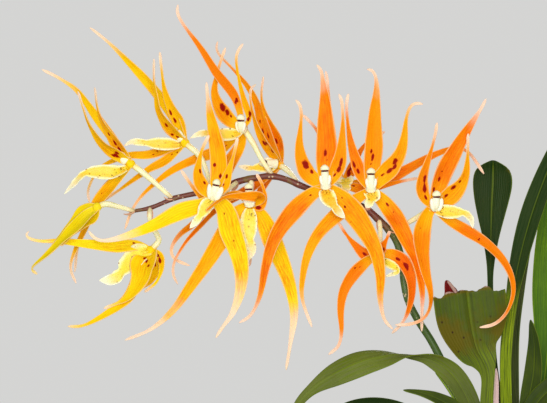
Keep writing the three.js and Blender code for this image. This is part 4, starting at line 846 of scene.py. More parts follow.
def spike_finish():
    """Green low down, darkened as painted shade, then purple-brown with olive mottling and pale breathing
    pores.
    """
    finish = Finish("spike_mottled", Subsurface_Weight=0.05, Subsurface_Scale=0.0015)
    ripe, pale = finish.read("ripe pale")
    where = finish.place()
    mottle = finish.noise(where, 170, 4, 0.6)
    wobble = mottle - 0.5
    streaks = finish.noise(finish.uv(8, 0.4), 2.4)
    pores = finish.cells(where, 420).rise(0.26, 0.16) * finish.noise(where, 130).rise(0.45, 0.6)
    # The stem's own green, made darker as painted shade for where it runs behind the flowers
    green = finish.mix(streaks.rise(0.3, 0.7), (78, 106, 32), (48, 78, 20))
    brown = finish.mix(mottle.rise(0.5, 0.7), (108, 50, 36), (116, 96, 44))
    finish.start((ripe + wobble * 1.1).rise(0.3, 0.7), green, brown)
    finish.lay(pores * 0.75, (214, 198, 160))
    finish.lay((pale + wobble * 0.6).rise(0.35, 0.75), (226, 178, 150))
    return finish.done(mottle * 0.25 + 0.36, finish.bump(streaks * 1.2 + pores * 0.7, 0.35, 0.0004))


# Each kind of leaf: its light tone, its dark tone, its midrib and its worn places
LEAF_TONES = {
    "leaf": ((98, 116, 4), (14, 46, 0), (112, 132, 24), (98, 86, 8)),
    "pale_leaf": ((112, 154, 0), (56, 98, 0), (150, 180, 30), (150, 128, 40)),
    "dry_sheath": ((250, 214, 214), (196, 140, 138), (250, 226, 220), (130, 70, 62)),
    "dry_flap": ((150, 22, 14), (92, 4, 8), (128, 44, 36), (104, 10, 12)),
}
PAINTED_LEAF_SHEEN = (150, 152, 96)
LEAF_YELLOW = (158, 182, 8)
LEAF_TORN = (176, 140, 128)
LEAF_PITS = (52, 34, 20)


def leaf_finish(name):
    light, dark, midrib, old = LEAF_TONES[name]
    finish = Finish(name, Specular_IOR_Level=0.12)
    along, across, shade, worn, sheen, gold, back = finish.read("along across shade worn sheen gold back")
    where = finish.place()
    streaks = finish.noise(finish.uv(11, 0.3), 1.5, 5, 0.6)
    patches = finish.noise(where, 42, 4, 0.55)
    edge = abs(across)
    wobble = patches - 0.5
    lines = (streaks - 0.5) * (0.9 - worn.rise(0, 0.9) * 0.6)
    # along.rise(0.55, 0.15) * 0.3 darkens every leaf towards its foot: painted shade
    depth = lines + 0.45 + patches * 0.6 + along.rise(0.55, 0.15) * 0.3 + shade * 0.3
    yellow = (gold + wobble * 0.6).rise(0.25, 0.8) * streaks.rise(0.75, 0.3)
    age = worn + wobble * 1.5
    mottle = (age + finish.noise(where, 190) * 0.5).rise(0.5, 0.85)
    finish.start(depth.rise(0.36, 1), light, dark)
    finish.lay(back * 0.2, light)
    finish.lay(yellow * 0.9, LEAF_YELLOW)
    # Grey along the streaks: a painted reflection of the light
    finish.lay(sheen * streaks.rise(0.3, 0.6) * 0.55, PAINTED_LEAF_SHEEN)
    finish.lay(edge.rise(0.08, 0.015) * 0.45, midrib)
    finish.lay((edge + wobble * 0.06).rise(0.95, 1) * 0.6, midrib)
    finish.lay(mottle * 0.85, old)
    finish.lay(age.rise(0.8, 1.02), LEAF_TORN)
    finish.lay(finish.cells(where, 210).rise(0.16, 0.06) * age.rise(0.1, 0.6), LEAF_PITS)
    ribs = finish.bump((across * 64).sine() * 0.3 + streaks * 1.1, 0.3, 0.0005)
    grain = finish.bump(finish.noise(where, 600, 2), 0.15, 0.0002, Normal=ribs)
    return finish.done(streaks * 0.25 + 0.4, grain)


def bulb_finish():
    """Green, ribbed and mottled, browner towards its foot."""
    finish = Finish("pseudobulb_green", Coat_Weight=0.08, Coat_Roughness=0.35)
    along, across = finish.read("along across")
    where = finish.place()
    mottle = finish.noise(where, 60, 4, 0.6)
    streaks = finish.noise(finish.uv(24, 0.5), 1.5, 4, 0.6)
    finish.start(streaks.rise(0.3, 0.7), (134, 156, 62), (84, 112, 34))
    finish.lay(mottle.rise(0.5, 0.7) * 0.6, (150, 150, 70))
    finish.lay((along + (mottle - 0.5) * 0.3).rise(0.3, 0.05) * 0.7, (128, 96, 58))
    ribs = finish.bump((across * 56).sine() * 0.25 + streaks, 0.4, 0.0006)
    return finish.done(mottle * 0.3 + 0.32, finish.bump(finish.noise(where, 700), 0.2, 0.0002, Normal=ribs))


def husk_finish():
    """The papery old sheaths at the foot of a bulb."""
    finish = Finish("sheath_papery")
    threads = finish.noise(finish.uv(30, 0.6), 2, 4, 0.7)
    patches = finish.noise(finish.place(), 70, 4)
    finish.start(threads.rise(0.3, 0.7), (204, 178, 134), (146, 112, 74))
    finish.lay(patches.rise(0.5, 0.72) * 0.6, (108, 78, 50))
    return finish.done(patches * 0.25 + 0.6, finish.bump(threads, 0.6, 0.0007))


def clay_finish():
    """Fired clay: fine grain, turning marks, and a pale bloom of salts low down and at the rim."""
    finish = Finish("terracotta")
    where = finish.place()
    height = finish.value("SeparateXYZ", {"Vector": where}, "Z")
    rings = finish.noise(finish.place((2, 2, 210)), 4, 3, 0.6)
    broad = finish.noise(where, 24, 5, 0.6)
    grain = finish.noise(where, 1300, 3, 0.7)
    bloom = height.rise(0.034, 0) * 0.5 + broad * 0.9 + height.rise(0.086, 0.112) * 0.18
    finish.start(broad.rise(0.32, 0.68), (190, 108, 72), (166, 84, 54))
    finish.lay(grain.rise(0.52, 0.72) * 0.35, (214, 146, 108))
    finish.lay(bloom.rise(0.62, 1) * 0.6, (222, 196, 174))
    finish.lay((height + broad * 0.03).rise(0.1, 0.07) * 0.14, (120, 62, 42))
    relief = rings + grain * 0.5 - finish.cells(where, 480).rise(0.16, 0.05) * 0.8
    return finish.done(broad * 0.2 + 0.72, finish.bump(relief, 0.5, 0.0006))


def bark_finish():
    """Conifer bark: layered red-brown, with pale corky faces and dark cracks."""
    finish = Finish("bark_chips")
    (shade,) = finish.read("shade")
    where = finish.place()
    layers = finish.noise(finish.place((1, 1, 5)), 130, 5, 0.65)
    broad = finish.noise(where, 70, 4)
    grain = finish.noise(where, 800, 4, 0.7)
    finish.start((layers * 0.7 + shade * 0.4).rise(0.1, 0.8), (82, 52, 34), (146, 98, 62))
    finish.lay(broad.rise(0.52, 0.7) * 0.55, (176, 132, 92))
    finish.lay(layers.rise(0.42, 0.3) * 0.8, (44, 28, 18))
    return finish.done(broad * 0.2 + 0.74, finish.bump(layers * 1.4 + grain * 0.5, 0.8, 0.0012))


FLOOR_TONE = (0.56, 0.555, 0.545, 1)
FLOOR_LIGHT = (0.6, 0.595, 0.585, 1)
FLOOR_FADE_FROM = 1.7
FLOOR_FADE_TO = 0.6


def floor_finish():
    """Pale and plain, melting into the background away from the pot."""
    finish = Finish("studio_floor", Roughness=0.85)
    where = finish.place((1, 1, 0))
    distance = finish.value("VectorMath", {0: where}, "Value", operation="LENGTH")
    tones = {0: finish.noise(where, 3), 6: FLOOR_TONE, 7: FLOOR_LIGHT}
    tone = finish.value("Mix", tones, 2, data_type="RGBA")
    finish.feed(finish.shader.inputs["Base Color"], tone)
    finish.feed(finish.shader.inputs["Alpha"], distance.rise(FLOOR_FADE_FROM, FLOOR_FADE_TO))
    return finish.material


FINISH = {}


def make_finishes():
    FINISH.update({f"tepal_{tone}": tepal_finish(tone) for tone in TEPAL_TONES})
    FINISH.update({leaf: leaf_finish(leaf) for leaf in LEAF_TONES})
    FINISH.update(lip=lip_finish(), stalk=stalk_finish(), spike_stem=spike_finish(), bulb=bulb_finish(),
                  husk=husk_finish(), clay=clay_finish(), bark=bark_finish(), floor=floor_finish())


# ---------------------------------------------------------------- flowers

# How the width runs along each kind of tepal: where it is widest, and how it then thins to a thread
TEPAL_KINDS = {
    "dorsal": (0.3, 1.6, 1.35),
    "petal": (0.27, 1, 1.6),
    "lateral": (0.25, 1, 1.05),
    "tailed": (0.24, 1, 1.8),
    "hooked": (0.25, 1, 1.05),
}
TEPAL_ROOT_SHARE = 0.45
TEPAL_GRID = (30, 8)
TEPAL_THICKNESS = 0.75
EDGE_THINNING = 0.55
TIP_WIDTH = 1.5
TIP_SHARE = 0.03
HUB_RADII = (2.3, 1.955, 2.3)


def tepal_curl(s):
    """Channelled at its foot, flatter where it is wide, and rolled in where it thins to a thread."""
    return 30 + 28 * np.clip(1 - s / 0.18, 0, 1) ** 2 + 46 * np.clip((s - 0.55) / 0.45, 0, 1) ** 1.5


def random_spot(kind, draw):
    """A blotch near the foot of a tepal: small ones on the lower sepals, longer ones on the rest."""
    size = 1 if kind in ("dorsal", "petal") else 0.55
    length, width = draw.uniform(1.8, 3.8) * size, draw.uniform(1.1, 1.8) * size
    return draw.uniform(0.1, 0.32), draw.uniform(-0.5, 0.5), length, width


def tepal(name, face, centre, index, kind, greatest, route, seed):
    draw = random.Random(seed)
    phase, beat, sway = draw.uniform(0, 6.28), draw.uniform(2.2, 3.6), draw.uniform(-1, 1)
    widest, power, fall = TEPAL_KINDS[kind]

    def width(s):
        rise = TEPAL_ROOT_SHARE + (1 - TEPAL_ROOT_SHARE) * np.sin(np.pi / 2 * np.minimum(s / widest, 1))
        share = np.where(s < widest, rise, (1 - ramp(s, widest, 1) ** power) ** fall)
        return np.maximum(TIP_WIDTH, greatest * share) * np.clip((1 - s) / TIP_SHARE, 0.12, 1)

    def lift(s, t, wide):
        keel = -0.035 * wide * bell(t, 0, 0.16) * np.clip(1 - s * 1.1, 0, 1)
        wave = np.sin(2 * math.pi * (beat * s) + phase + 1.3 * t) * np.abs(t) ** 2 * 0.045 * wide
        return keel + wave * np.sin(math.pi * s) ** 0.5

    def turn(s):
        return sway * 9 * np.sin(math.pi * s) + sway * 16 * s**3

    route = [(0, 0, 0), *route]
    piece, length = blade(route, face, TEPAL_GRID, width, tepal_curl, TEPAL_THICKNESS, lift, turn, centre)
    s, t = marked(piece.data, "along"), marked(piece.data, "across")
    spots = SPOTS.get(name, {}).get(index)
    if spots is None:
        spots = [random_spot(kind, draw) for _ in range(PETAL_SPOTS if kind == "petal" else SEPAL_SPOTS)]
    field = np.full(len(s), -1.0)
    for spot_s, spot_t, spot_length, spot_width in spots:
        over = (t - spot_t) * width(s) / spot_width
        on = (s - spot_s) * 2 * length / spot_length
        field = np.maximum(field, 1 - np.hypot(over, on))
    mark(piece.data, shade=sway, gold=GOLD.get(name, NO_CHANGE)[index],
         pale=PALE_HIGHLIT_TIP_REACH + PALE_HIGHLIT_TIPS.get(name, NO_CHANGE)[index], blotch=field)
    return piece


LIP_BODY = (-0.083, 0.67, 0.7, 1)
LIP_APRON = (0.43, 1, 0.8, 0.56)
LIP_GRID = (36, 14)
LIP_THICKNESS = 0.65
COLUMN_RADII = (2.7, 2.2, 1.95)
CAP_RADII = (2.15, 1.8, 2.05)
GAP_SHADOW_RADII = (1.8, 1.6, 1.2)
CREST_RADII = (0.8, 0.35, 1.9)
WING_RADII = np.array((0.9, 1.2, 2.7))
WING_SPREAD = {"05": 1.45, "06": 1.2, "09": 1.25}


def lip_swell(s, begin, end, power, share):
    return share * np.maximum(np.sin(np.pi * ramp(s, begin, end)), 0) ** power


def lip_curl(s):
    return 24 + 30 * np.clip(1 - s / 0.25, 0, 1) ** 2


def column_pieces(name, points, face):
    """The column, its wings and its anther cap, with a dark ball under the cap that is painted shadow in the
    gap.
    """
    way = unit(points[2] - points[1])
    side = unit(np.cross(way, face))
    rows = [(*point, radius) for point, radius in zip(points - way * 0.5, COLUMN_RADII)]
    body = tube(rows, 18, 14, lambda s, angle: 1 + 0.07 * np.cos(2 * angle) * s)
    mark(body.data, along=0.97, across=0.9, green=0.12)
    pieces = [body]
    spread = WING_SPREAD.get(name, 1)
    for hand in (-1, 1):
        root = points[1] + side * 1.65 * spread * hand + face * 0.5 - way * 1.0
        pieces.append(ball(root, WING_RADII * spread, way + side * 0.25 * hand, 14, 12, along=1, across=1))
    # A dark ball under the cap, which stands for the shadow in the gap: painted shadow
    under = points[2] + face * 0.35 - way * 0.15
    pieces.append(ball(under, GAP_SHADOW_RADII, way, along=0.6, across=0.5, eye=1))
    crown = points[2] + way * 1.3 + face * 0.3
    cap = ball(crown, CAP_RADII, way, along=0.97, across=0.9, green=0.2)
    spots = places(cap.data) / MM - crown
    height, over = spots @ way, spots @ side
    squarer = np.where(height > 0, 0.82, 0.75) * height - height
    spots += np.outer(squarer, way) + np.outer(-0.16 * height * over, side)
    place(cap.data, (spots + crown) * MM)
    return pieces + [cap]


def make_lip(name, face, centre, greatest, route, column, seed):
    draw = random.Random(seed)
    phase, beat = draw.uniform(0, 6.28), draw.uniform(5.5, 7.5)

    def width(s):
        share = np.maximum(lip_swell(s, *LIP_BODY), lip_swell(s, *LIP_APRON))
        return np.maximum(TIP_WIDTH * np.clip((1 - s) / 0.05, 0.2, 1), greatest * share)

    def lift(s, t, wide):
        ruffle = np.sin(2 * math.pi * beat * s + phase + 2.2 * t) * np.abs(t) ** 1.5
        lobes = 0.16 * wide * np.abs(t) ** 3 * bell(s, 0.16, 0.09)
        return 0.08 * wide * ruffle * np.clip(s * 3 - 0.4, 0, 1) + lobes

    petal, _ = blade(route, face, LIP_GRID, width, lip_curl, LIP_THICKNESS, lift, centre=centre)
    mark(petal.data, eye=0, green=0)
    pieces = [petal]
    face = unit(np.array(face, float))
    start, second = np.array(route[:2], float) + centre
    run = unit(second - start)
    side = unit(np.cross(run, face))
    for hand in (-1, 1):
        foot = start + run * 2.3 + face * 0.45 + side * 0.8 * hand
        pieces.append(ball(foot, CREST_RADII, run, 12, 10, along=0.3, across=0.45 * hand))
    if column:
        pieces += column_pieces(name, np.array(column, float) + centre, face)
    whole = join(f"lip_petal_{name}", pieces)
    mark(whole.data, warm=LIP_WARMTH[name])
    finish_piece(whole, "lip", f"lip_{name}")


PEDICEL_RADIUS = 1.3


def pedicel_swell(s, angle):
    """Thinnest at its foot and swelling into the ribbed ovary."""
    ovary = 0.9 + 0.25 * np.clip((s - 0.3) / 0.4, 0, 1) ** 1.5
    return ovary + 0.05 * np.cos(6 * angle + 2.5 * s) * np.clip((s - 0.2) / 0.3, 0, 1)


def make_flower(number, name, colour, centre, face, pedicel, tepals, lip, column):
    pieces = [tepal(name, face, centre, index, kind, width, route, 100 * number + index)
              for index, (kind, width, *route) in enumerate(tepals)]
    whole = join(f"tepals_{name}", pieces + [ball(centre, HUB_RADII, blotch=-1)])
    finish_piece(whole, f"tepal_{colour}", f"flower_{name}")
    if lip:
        greatest, *route = lip
        make_lip(name, face, centre, greatest, route, column, 500 + number)
    stalk = tube([(*row, PEDICEL_RADIUS) for row in (*pedicel, centre)], 24, 22, pedicel_swell)
    finish_piece(rename(stalk, f"stalk_{name}"), "stalk", f"pedicel_{name}")


# ---------------------------------------------------------------- flower spike

BRACT_LENGTH = 6
BRACT_DROP = 2.8
SHEATH_FEET = (0.12, 0.25, 0.38)
RIPE_FROM = 0.62
RIPE_TO = 0.7


def spike_bract(foot, following):
    """The small bract under the foot of a flower's stalk."""
    tip = foot + unit(following - foot) * BRACT_LENGTH + (0, 0, -BRACT_DROP)
    middle = (foot + tip) / 2 + (0, 0, -0.5)

    def width(s):
        return 3.0 * np.sin(np.pi * (0.22 + 0.74 * s)) ** 0.8 + 0.3

    piece, _ = blade([foot, middle, tip], (0, 0, 1), (10, 6), width, lambda s: 62 - 20 * s, 0.5)
    mark(piece.data, ripe=0.9, pale=0.75)
    return piece


def peduncle_sheath(points, s):
    """A clasping bract on the green stem, at a place along it."""
    index = int(s * (len(points) - 1))
    foot, upper = points[index, :3], points[min(index + 26, len(points) - 1), :3]
    rows = [foot + (0, -1.5, 0), (foot + upper) / 2 + (0, -2.6, 0), upper + (0, -3.2, 0)]
    piece, _ = blade(rows, (0, 1, 0), (14, 8), lambda u: 6.2 * (1 - u**2.2) + 0.4, lambda u: 84 - 30 * u, 0.5)
    mark(piece.data, ripe=0.2, pale=0.45)
    return piece


def make_spike():
    points, _ = spline(SPIKE_ROUTE, 400)
    feet = [np.array(rows["pedicel"][:2], float) for rows in FLOWERS]
    along = [np.argmin(np.linalg.norm(points[:, :3] - foot, axis=1)) / (len(points) - 1) for foot, _ in feet]

    def swell(s, angle):
        nodes = sum(bell(s, foot, 0.006) for foot in along)
        rings = sum(bell(s, foot, 0.003) for foot in SHEATH_FEET)
        return 1 + 0.16 * np.minimum(nodes, 1) + 0.2 * rings + 0.03 * np.cos(7 * angle)

    stem = tube(SPIKE_ROUTE, 22, 260, swell)
    mark(stem.data, ripe=ramp(marked(stem.data, "along"), RIPE_FROM, RIPE_TO), pale=0)
    pieces = [stem] + [spike_bract(*rows) for rows in feet]
    pieces += [peduncle_sheath(points, foot) for foot in SHEATH_FEET]
    finish_piece(join("spike_stem", pieces), "spike_stem", "flower_spike")


# ---------------------------------------------------------------- leaves and pseudobulbs

LEAF_THICKNESS = 1.1
# How each leaf looks: darker (1) or lighter (-1), its painted grey reflection, its yellow foot (from, to,
# amount), and its worn stretches (place along, reach, amount)
LEAF_LOOKS = {
    "leaf_01": dict(shade=-0.5, sheen=0.5, worn=[(0.42, 0.04, 0.35), (0.97, 0.05, 0.5)]),
    "leaf_02": dict(shade=0.1, sheen=0.25, torn=0.05, yellow=(0.35, 0.95, 0.5),
                    worn=[(0.8, 0.22, 0.5), (1.0, 0.03, 1.15)]),
    "leaf_03": dict(shade=1.1, worn=[(1, 0.06, 0.2)]),
    "leaf_04": dict(shade=1.1, yellow=(0.06, 0.62, 1.2)),
    "leaf_05": dict(shade=0.1),
    "leaf_06": dict(shade=0.9, sheen=0.4),
    "leaf_07": dict(shade=0.45, sheen=0.2),
    "leaf_08": dict(shade=0.6, sheen=0.2),
    "leaf_09": dict(shade=0.2, sheen=0.2, worn=[(1, 0.1, 0.4)]),
    "leaf_10": dict(shade=-0.6, sheen=0.8),
    "leaf_11": dict(shade=0.9),
    "dry_sheath": dict(shade=-1.2, worn=[(0.3, 0.2, 0.5)]),
    "torn_flap": dict(shade=0.2, sheen=0, finish="dry_flap", behind=1.9),
}
# The pale edge that the torn flap is rolled into: x, y, z and radius
FLAP_HEM = [
    (-23.8, -17.2, 301, 0.6), (-24.8, -17.7, 303, 0.75), (-26.2, -18.3, 305.4, 0.85), (-28, -18.9, 308, 0.8),
    (-29.5, -19.3, 309.8, 0.55),
]


def make_leaf(number, name, slot, face, steps, *route, shade, sheen=0.1, torn=0, yellow=(0, 1, 0), worn=(),
              finish=None, behind=0):
    course, _ = spline(route, 400)
    fine = np.linspace(0, 1, len(course))
    draw = random.Random(900 + number)
    phase, beat = draw.uniform(0, 6.28), draw.uniform(1.5, 2.6)

    def width(s):
        end = 1 if torn else np.sqrt(np.clip(1 - ((s - 0.985) / 0.0155) ** 2, 0.02, 1))
        return np.interp(s, fine, course[:, 3]) * np.where(s > 0.985, end, 1)

    def turn(s):
        return np.interp(s, fine, course[:, 4])

    def lift(s, t, wide):
        wave = np.sin(2 * math.pi * beat * s + phase + t) * np.abs(t) ** 2 * 0.035 * wide
        return wave - 0.05 * wide * bell(t, 0, 0.1)

    def curl(s):
        return 24 + 34 * np.clip(1 - s / 0.3, 0, 1) ** 2

    def ragged_end(t):
        large = np.array([noise.noise((value * 3.1, number, 0)) for value in t])
        small = np.array([noise.noise((value * 11, number, 4)) for value in t])
        return 1 - torn * (0.4 - 0.7 * (large + 0.45 * small) + 0.15 * t)

    piece, _ = blade(route, face, (5 * steps, 40 if torn else 14), width, curl, LEAF_THICKNESS, lift, turn,
                     (0, behind, 0), ragged_end if torn else whole_reach)
    s = marked(piece.data, "along")
    begin, end, amount = yellow
    mark(piece.data, shade=shade, sheen=sheen,
         gold=amount * np.clip((s - begin) / 0.1, 0, 1) * np.clip((end - s) / 0.3, 0, 1),
         worn=np.max([0 * s] + [share * bell(s, centre, reach) for centre, reach, share in worn], axis=0))
    kind, own = name.split("_")
    rename(piece, {"leaf": "strap_leaf_", "dry": "withered_", "torn": "withered_"}[kind] + own)
    if name == "torn_flap":
        hem = tube(FLAP_HEM, 12, 20)
        mark(hem.data, worn=1.3)
        piece = join(piece.name, [piece, hem])
    finish_piece(piece, slot, name, finish)


BULB_FLATNESS = 0.58
BULB_NECK_SHARE = 0.22
BULB_FULLNESS = 0.6
BULB_LOWNESS = 0.9
BULB_RIBS = 9
# The papery sheaths round each bulb: the middle of the arc, the half arc (both in degrees) and the height
# (a share of the bulb's)
HUSKS = ((60, 125, 0.5), (235, 120, 0.4), (150, 95, 0.28))
HUSK_FOOT = 0.1
HUSK_THICKNESS = 0.35


def husk(put, half_width, seed, middle, half_arc, height):
    """An old sheath that clasps the foot of a bulb and ends in a torn point."""
    piece, t, s = grid(26, 20)
    teeth = np.array([noise.noise((value * 5, seed, 0)) for value in t])
    high = height * (1 - 0.62 * np.abs(t) ** 1.6 + 0.12 * teeth)
    up = HUSK_FOOT + (high - HUSK_FOOT) * s
    ripple = np.array([noise.noise((a * 3, b * 3, seed)) for a, b in zip(t, s)])
    loose = 0.7 + 1.5 * s**2 * (0.35 + 0.65 * np.abs(t)) + 0.5 * ripple
    angle = np.radians(middle + half_arc * t)
    wide = half_width(up)
    x, y = np.cos(angle) * (wide + loose), np.sin(angle) * (wide * BULB_FLATNESS + loose)
    place(piece.data, put(x, y, up) * MM)
    set_uv(piece.data, t, s)
    apply(piece, "SOLIDIFY", thickness=HUSK_THICKNESS * MM, offset=0)
    refine(piece)
    smooth(piece)
    face_out(piece)
    return piece


def make_bulb(number, name, foot, top, half, turn):
    foot, top = np.array(foot, float), np.array(top, float)
    turn = math.radians(turn)

    def half_width(s):
        fullness = np.maximum(np.sin(np.pi * s**BULB_LOWNESS), 0) ** BULB_FULLNESS
        return half * (BULB_NECK_SHARE + (1 - BULB_NECK_SHARE) * fullness)

    def put(x, y, up):
        across = np.stack([x * math.cos(turn) - y * math.sin(turn), x * math.sin(turn) + y * math.cos(turn),
                           0 * x], axis=1)
        return foot + (top - foot) * up[:, None] + across

    def skin(s, angle):
        closing = np.sqrt(np.clip(1 - ((s - 0.5) / 0.5) ** 16, 0, 1))
        ribs = 1 - 0.028 * (1 - np.abs(np.cos(BULB_RIBS * angle / 2))) ** 2 * np.sin(np.pi * s)
        wide = half_width(s) * ribs * closing
        return put(np.cos(angle) * wide, np.sin(angle) * (wide * BULB_FLATNESS), s)

    body = wrap(72, 60, skin)
    face_out(body)
    finish_piece(rename(body, name.replace("pseudobulb", "swollen_stem")), "bulb", name)
    husks = [husk(put, half_width, 10 * number + index, *shape) for index, shape in enumerate(HUSKS)]
    finish_piece(join(name.replace("pseudobulb", "papery_sheath"), husks), "dry_sheath", name, "husk")


# ---------------------------------------------------------------- pot and bark


def wall_radius(z):
    return POT_BASE_RADIUS + (POT_BODY_TOP_RADIUS - POT_BASE_RADIUS) * z / POT_HEIGHT


def round_about(r, angle, z):
    return np.stack([r * np.cos(angle), r * np.sin(angle), z], axis=1)


def make_pot():
    base, rim, top, rim_foot = POT_BASE_RADIUS, POT_RIM_RADIUS, POT_HEIGHT, POT_HEIGHT - POT_RIM_HEIGHT
    inner_top = wall_radius(top) - POT_WALL
    inner_foot = wall_radius(POT_FLOOR) - POT_WALL
    outline = np.array([
        (0, 0), (20, 0), (base - 1.6, 0), (base - 0.4, 0.4), (base, 1.6),
        (wall_radius(4), 4), (wall_radius(30), 30), (wall_radius(60), 60),
        (wall_radius(rim_foot) + 0.1, rim_foot - 1.2), (wall_radius(rim_foot) + 0.9, rim_foot - 0.1),
        (rim - 1.3, rim_foot), (rim - 0.3, rim_foot + 0.4), (rim, rim_foot + 1.5), (rim + 0.1, rim_foot + 4),
        (rim + 0.85, top - 3.4), (rim + 1, top - 1.9), (rim + 0.5, top - 0.6), (rim - 0.8, top),
        (inner_top + 1.9, top), (inner_top + 0.6, top - 0.6), (inner_top, top - 2),
        (inner_top - 0.2, top - 5), (wall_radius(50) - POT_WALL, 50), (inner_foot, POT_FLOOR + 3),
        (inner_foot - 3, POT_FLOOR),
        (20, POT_FLOOR), (0, POT_FLOOR),
    ], float)

    def shape(s, angle):
        r, z = read(outline, s).T
        return round_about(r, angle, z)

    pot = wrap(128, len(outline) - 1, shape)
    face_out(pot)
    for index in range(DRAIN_COUNT):
        angle = 2 * math.pi * index / DRAIN_COUNT
        spot = (DRAIN_CIRCLE * math.cos(angle) * MM, DRAIN_CIRCLE * math.sin(angle) * MM, POT_FLOOR / 2 * MM)
        bpy.ops.mesh.primitive_cylinder_add(vertices=32, radius=DRAIN_RADIUS * MM, depth=3 * POT_FLOOR * MM,
                                            location=spot)
        drill = bpy.context.object
        apply(pot, "BOOLEAN", object=drill, operation="DIFFERENCE")
        bpy.data.objects.remove(drill)
    only(pot)
    bpy.ops.object.shade_smooth_by_angle(angle=math.radians(40))
    finish_piece(rename(pot, "clay_pot"), "clay", "pot")


CHIP_KINDS = 5
CHIP_COUNT = 150
CHIP_SIZE = (17, 11, 5)
CHIPS_WITHIN = 42.5
BED_TOP = 94
# Vector noise takes its offsets from the clock unless it is seeded
NOISE_SEED = 5
BED_EDGE = 0.8
BARK_CLEARANCE = 0.4


def bark_room(z):
    """How far out the bark may reach at a height."""
    return wall_radius(z) - POT_WALL - BARK_CLEARANCE


def chip_shape(seed):
    """One bark chip: a slab with broken ends, split layers and a rough face."""
    bpy.ops.mesh.primitive_cube_add(size=1)
    chip = bpy.context.object
    edit(chip, (bpy.ops.mesh.subdivide, dict(number_cuts=3)))
    spots = places(chip.data)
    draw = random.Random(seed)
    taper = draw.uniform(0.15, 0.4)
    spots[:, 1] *= 1 - taper * (spots[:, 0] + 0.5)
    spots[:, 2] *= 1 - 0.5 * np.abs(spots[:, 0]) * draw.uniform(0.3, 1)
    spots[:, 2] += 0.25 * spots[:, 1] ** 2 * draw.uniform(-1, 1.5)
    shift = np.array([noise.noise_vector(Vector(spot) * 2.3 + Vector((seed, 0, 0))) for spot in spots])
    place(chip.data, (spots + shift * (0.16, 0.16, 0.12)) * CHIP_SIZE)
    refine(chip)
    spots = places(chip.data)
    rough = np.array([noise.noise(Vector(spot) * 0.55 + Vector((seed, 3, 0))) for spot in spots])
    spots[:, 2] += rough * 0.9
    place(chip.data, spots)
    return chip


def make_bark():
    def bed(s, angle):
        r = bark_room(BED_TOP) * np.minimum(s / BED_EDGE, 1)
        down = np.maximum(s - BED_EDGE, 0) / (1 - BED_EDGE)
        z = BED_TOP - down * (BED_TOP - POT_FLOOR - 1)
        rough = np.array([noise.noise((x * 0.12, y * 0.12, 0)) for x, y, _ in round_about(r, angle, z)])
        z = z + rough * 2 * (s < BED_EDGE - 0.01)
        return round_about(np.where(s > BED_EDGE, bark_room(z), r), angle, z)

    heap = wrap(64, 30, bed)
    close_ends(heap)
    mark(heap.data, shade=-1)
    noise.seed_set(NOISE_SEED)
    kinds = [chip_shape(seed) for seed in range(1, CHIP_KINDS + 1)]
    draw = random.Random(11)
    stems = [(foot[:2], half * 0.62 + 5) for _, foot, _, half, _ in BULBS] + [(SPIKE_ROUTE[0][:2], 8)]
    pieces = [heap]
    for index in range(CHIP_COUNT):
        radius = CHIPS_WITHIN * math.sqrt((index + 0.5) / CHIP_COUNT)
        spot = radius * math.cos(index * GOLDEN_ANGLE), radius * math.sin(index * GOLDEN_ANGLE)
        turn = Matrix.Rotation(draw.uniform(0, 6.28), 4, "Z")
        tilt = Matrix.Rotation(draw.gauss(0, 0.3), 4, "X") @ Matrix.Rotation(draw.gauss(0, 0.25), 4, "Y")
        size = draw.uniform(0.6, 1.1)
        height = BED_TOP + draw.uniform(0.5, 7)
        shade = draw.uniform(-0.5, 1)
        if any(math.dist(spot, middle) < room for middle, room in stems):
            continue
        chip = kinds[index % CHIP_KINDS].copy()
        chip.data = chip.data.copy()
        bpy.context.scene.collection.objects.link(chip)
        matrix = np.array(turn @ tilt)[:3, :3]
        place(chip.data, ((places(chip.data) * size) @ matrix.T + (*spot, height)) * MM)
        mark(chip.data, shade=shade)
        smooth(chip)
        pieces.append(chip)
    for kind in kinds:
        bpy.data.objects.remove(kind)
    whole = join("bark_chips", pieces)
    spots = places(whole.data)
    flat = np.linalg.norm(spots[:, :2], axis=1)
    room = bark_room(spots[:, 2] / MM) * MM
    over = flat > room
    spots[over, :2] *= (room[over] / flat[over])[:, None]
    place(whole.data, spots)
    finish_piece(whole, "bark", "potting_bark")


# ---------------------------------------------------------------- studio

LIGHT_AIM = (-0.1, 0, 0.33)
# Each light: its name, its place, its size, its power and its colour
LIGHTS = (
    ("key", (-0.4, -1.7, 0.8), 0.45, 8.5, (1.0, 0.98, 0.94)),
    ("fill", (-0.05, -1.75, 0.38), 0.4, 12.5, (1.0, 0.99, 0.96)),
    ("back", (0.5, 1.5, 1.0), 0.7, 10, (1.0, 0.98, 0.95)),
)
# The studio's tone by height of view: straight down is -1, level is 0 and straight up is 1
WORLD_BAND = ((-1, 0.3), (-0.6, 0.36), (-0.36, 0.66), (0.16, 0.66), (0.42, 0.3), (1, 0.34))


def hold(name, data, place_at, turn):
    """Puts a camera or a light in the scene."""
    holder = bpy.data.objects.new(name, data)
    holder.location = place_at
    holder.rotation_euler = turn
    bpy.context.scene.collection.objects.link(holder)
    return holder


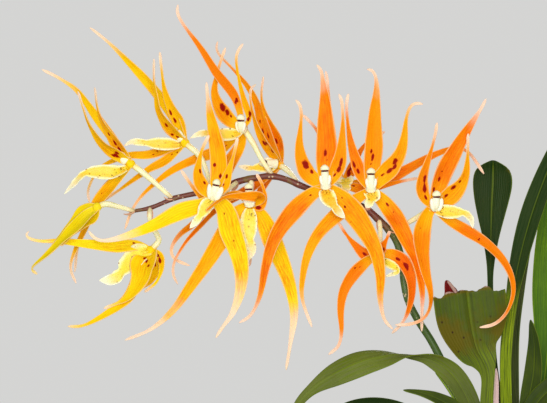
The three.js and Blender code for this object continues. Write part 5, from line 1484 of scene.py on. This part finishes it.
def make_camera():
    camera = bpy.data.cameras.new("view")
    camera.sensor_width = LENS_SENSOR
    camera.lens = LENS_SENSOR * VIEW_DISTANCE / VIEW_WIDTH
    camera.clip_end = 100
    spot = (VIEW_CENTRE[0] * MM, -VIEW_DISTANCE * MM, VIEW_CENTRE[1] * MM)
    bpy.context.scene.camera = hold("view", camera, spot, (math.pi / 2, 0, 0))


def make_light(name, place_at, size, power, colour):
    light = bpy.data.lights.new(name, "AREA")
    light.size = size
    light.energy = power
    light.color = colour
    turn = (Vector(LIGHT_AIM) - Vector(place_at)).to_track_quat("-Z", "Y").to_euler()
    hold(name, light, place_at, turn).visible_camera = False


def make_studio():
    for light in LIGHTS:
        make_light(*light)
    world = bpy.data.worlds.new("studio")
    bpy.context.scene.world = world
    world.use_nodes = True
    nodes, links = world.node_tree.nodes, world.node_tree.links
    direction = nodes.new("ShaderNodeTexCoord")
    split = nodes.new("ShaderNodeSeparateXYZ")
    links.new(direction.outputs["Generated"], split.inputs["Vector"])
    band = nodes.new("ShaderNodeValToRGB")
    stops = band.color_ramp.elements
    while len(stops) < len(WORLD_BAND):
        stops.new(0.5)
    for stop, (height, tone) in zip(stops, WORLD_BAND):
        stop.position = (height + 1) / 2
        stop.color = (tone, tone, tone * 0.985, 1)
    shift = nodes.new("ShaderNodeMapRange")
    shift.inputs["From Min"].default_value = -1
    links.new(split.outputs["Z"], shift.inputs["Value"])
    links.new(shift.outputs["Result"], band.inputs["Fac"])
    links.new(band.outputs["Color"], nodes["Background"].inputs["Color"])
    bpy.context.scene.view_settings.view_transform = "Standard"
    bpy.ops.mesh.primitive_circle_add(vertices=96, radius=2, fill_type="NGON")
    floor = bpy.context.object
    floor.name = "studio_floor"
    dress(floor, "floor")


make_camera()
make_finishes()
for number, rows in enumerate(FLOWERS, 1):
    make_flower(number, **rows)
make_spike()
for number, leaf in enumerate(LEAVES, 1):
    make_leaf(number, *leaf, **LEAF_LOOKS[leaf[0]])
for number, bulb in enumerate(BULBS, 1):
    make_bulb(number, *bulb)
make_pot()
make_bark()
make_studio()
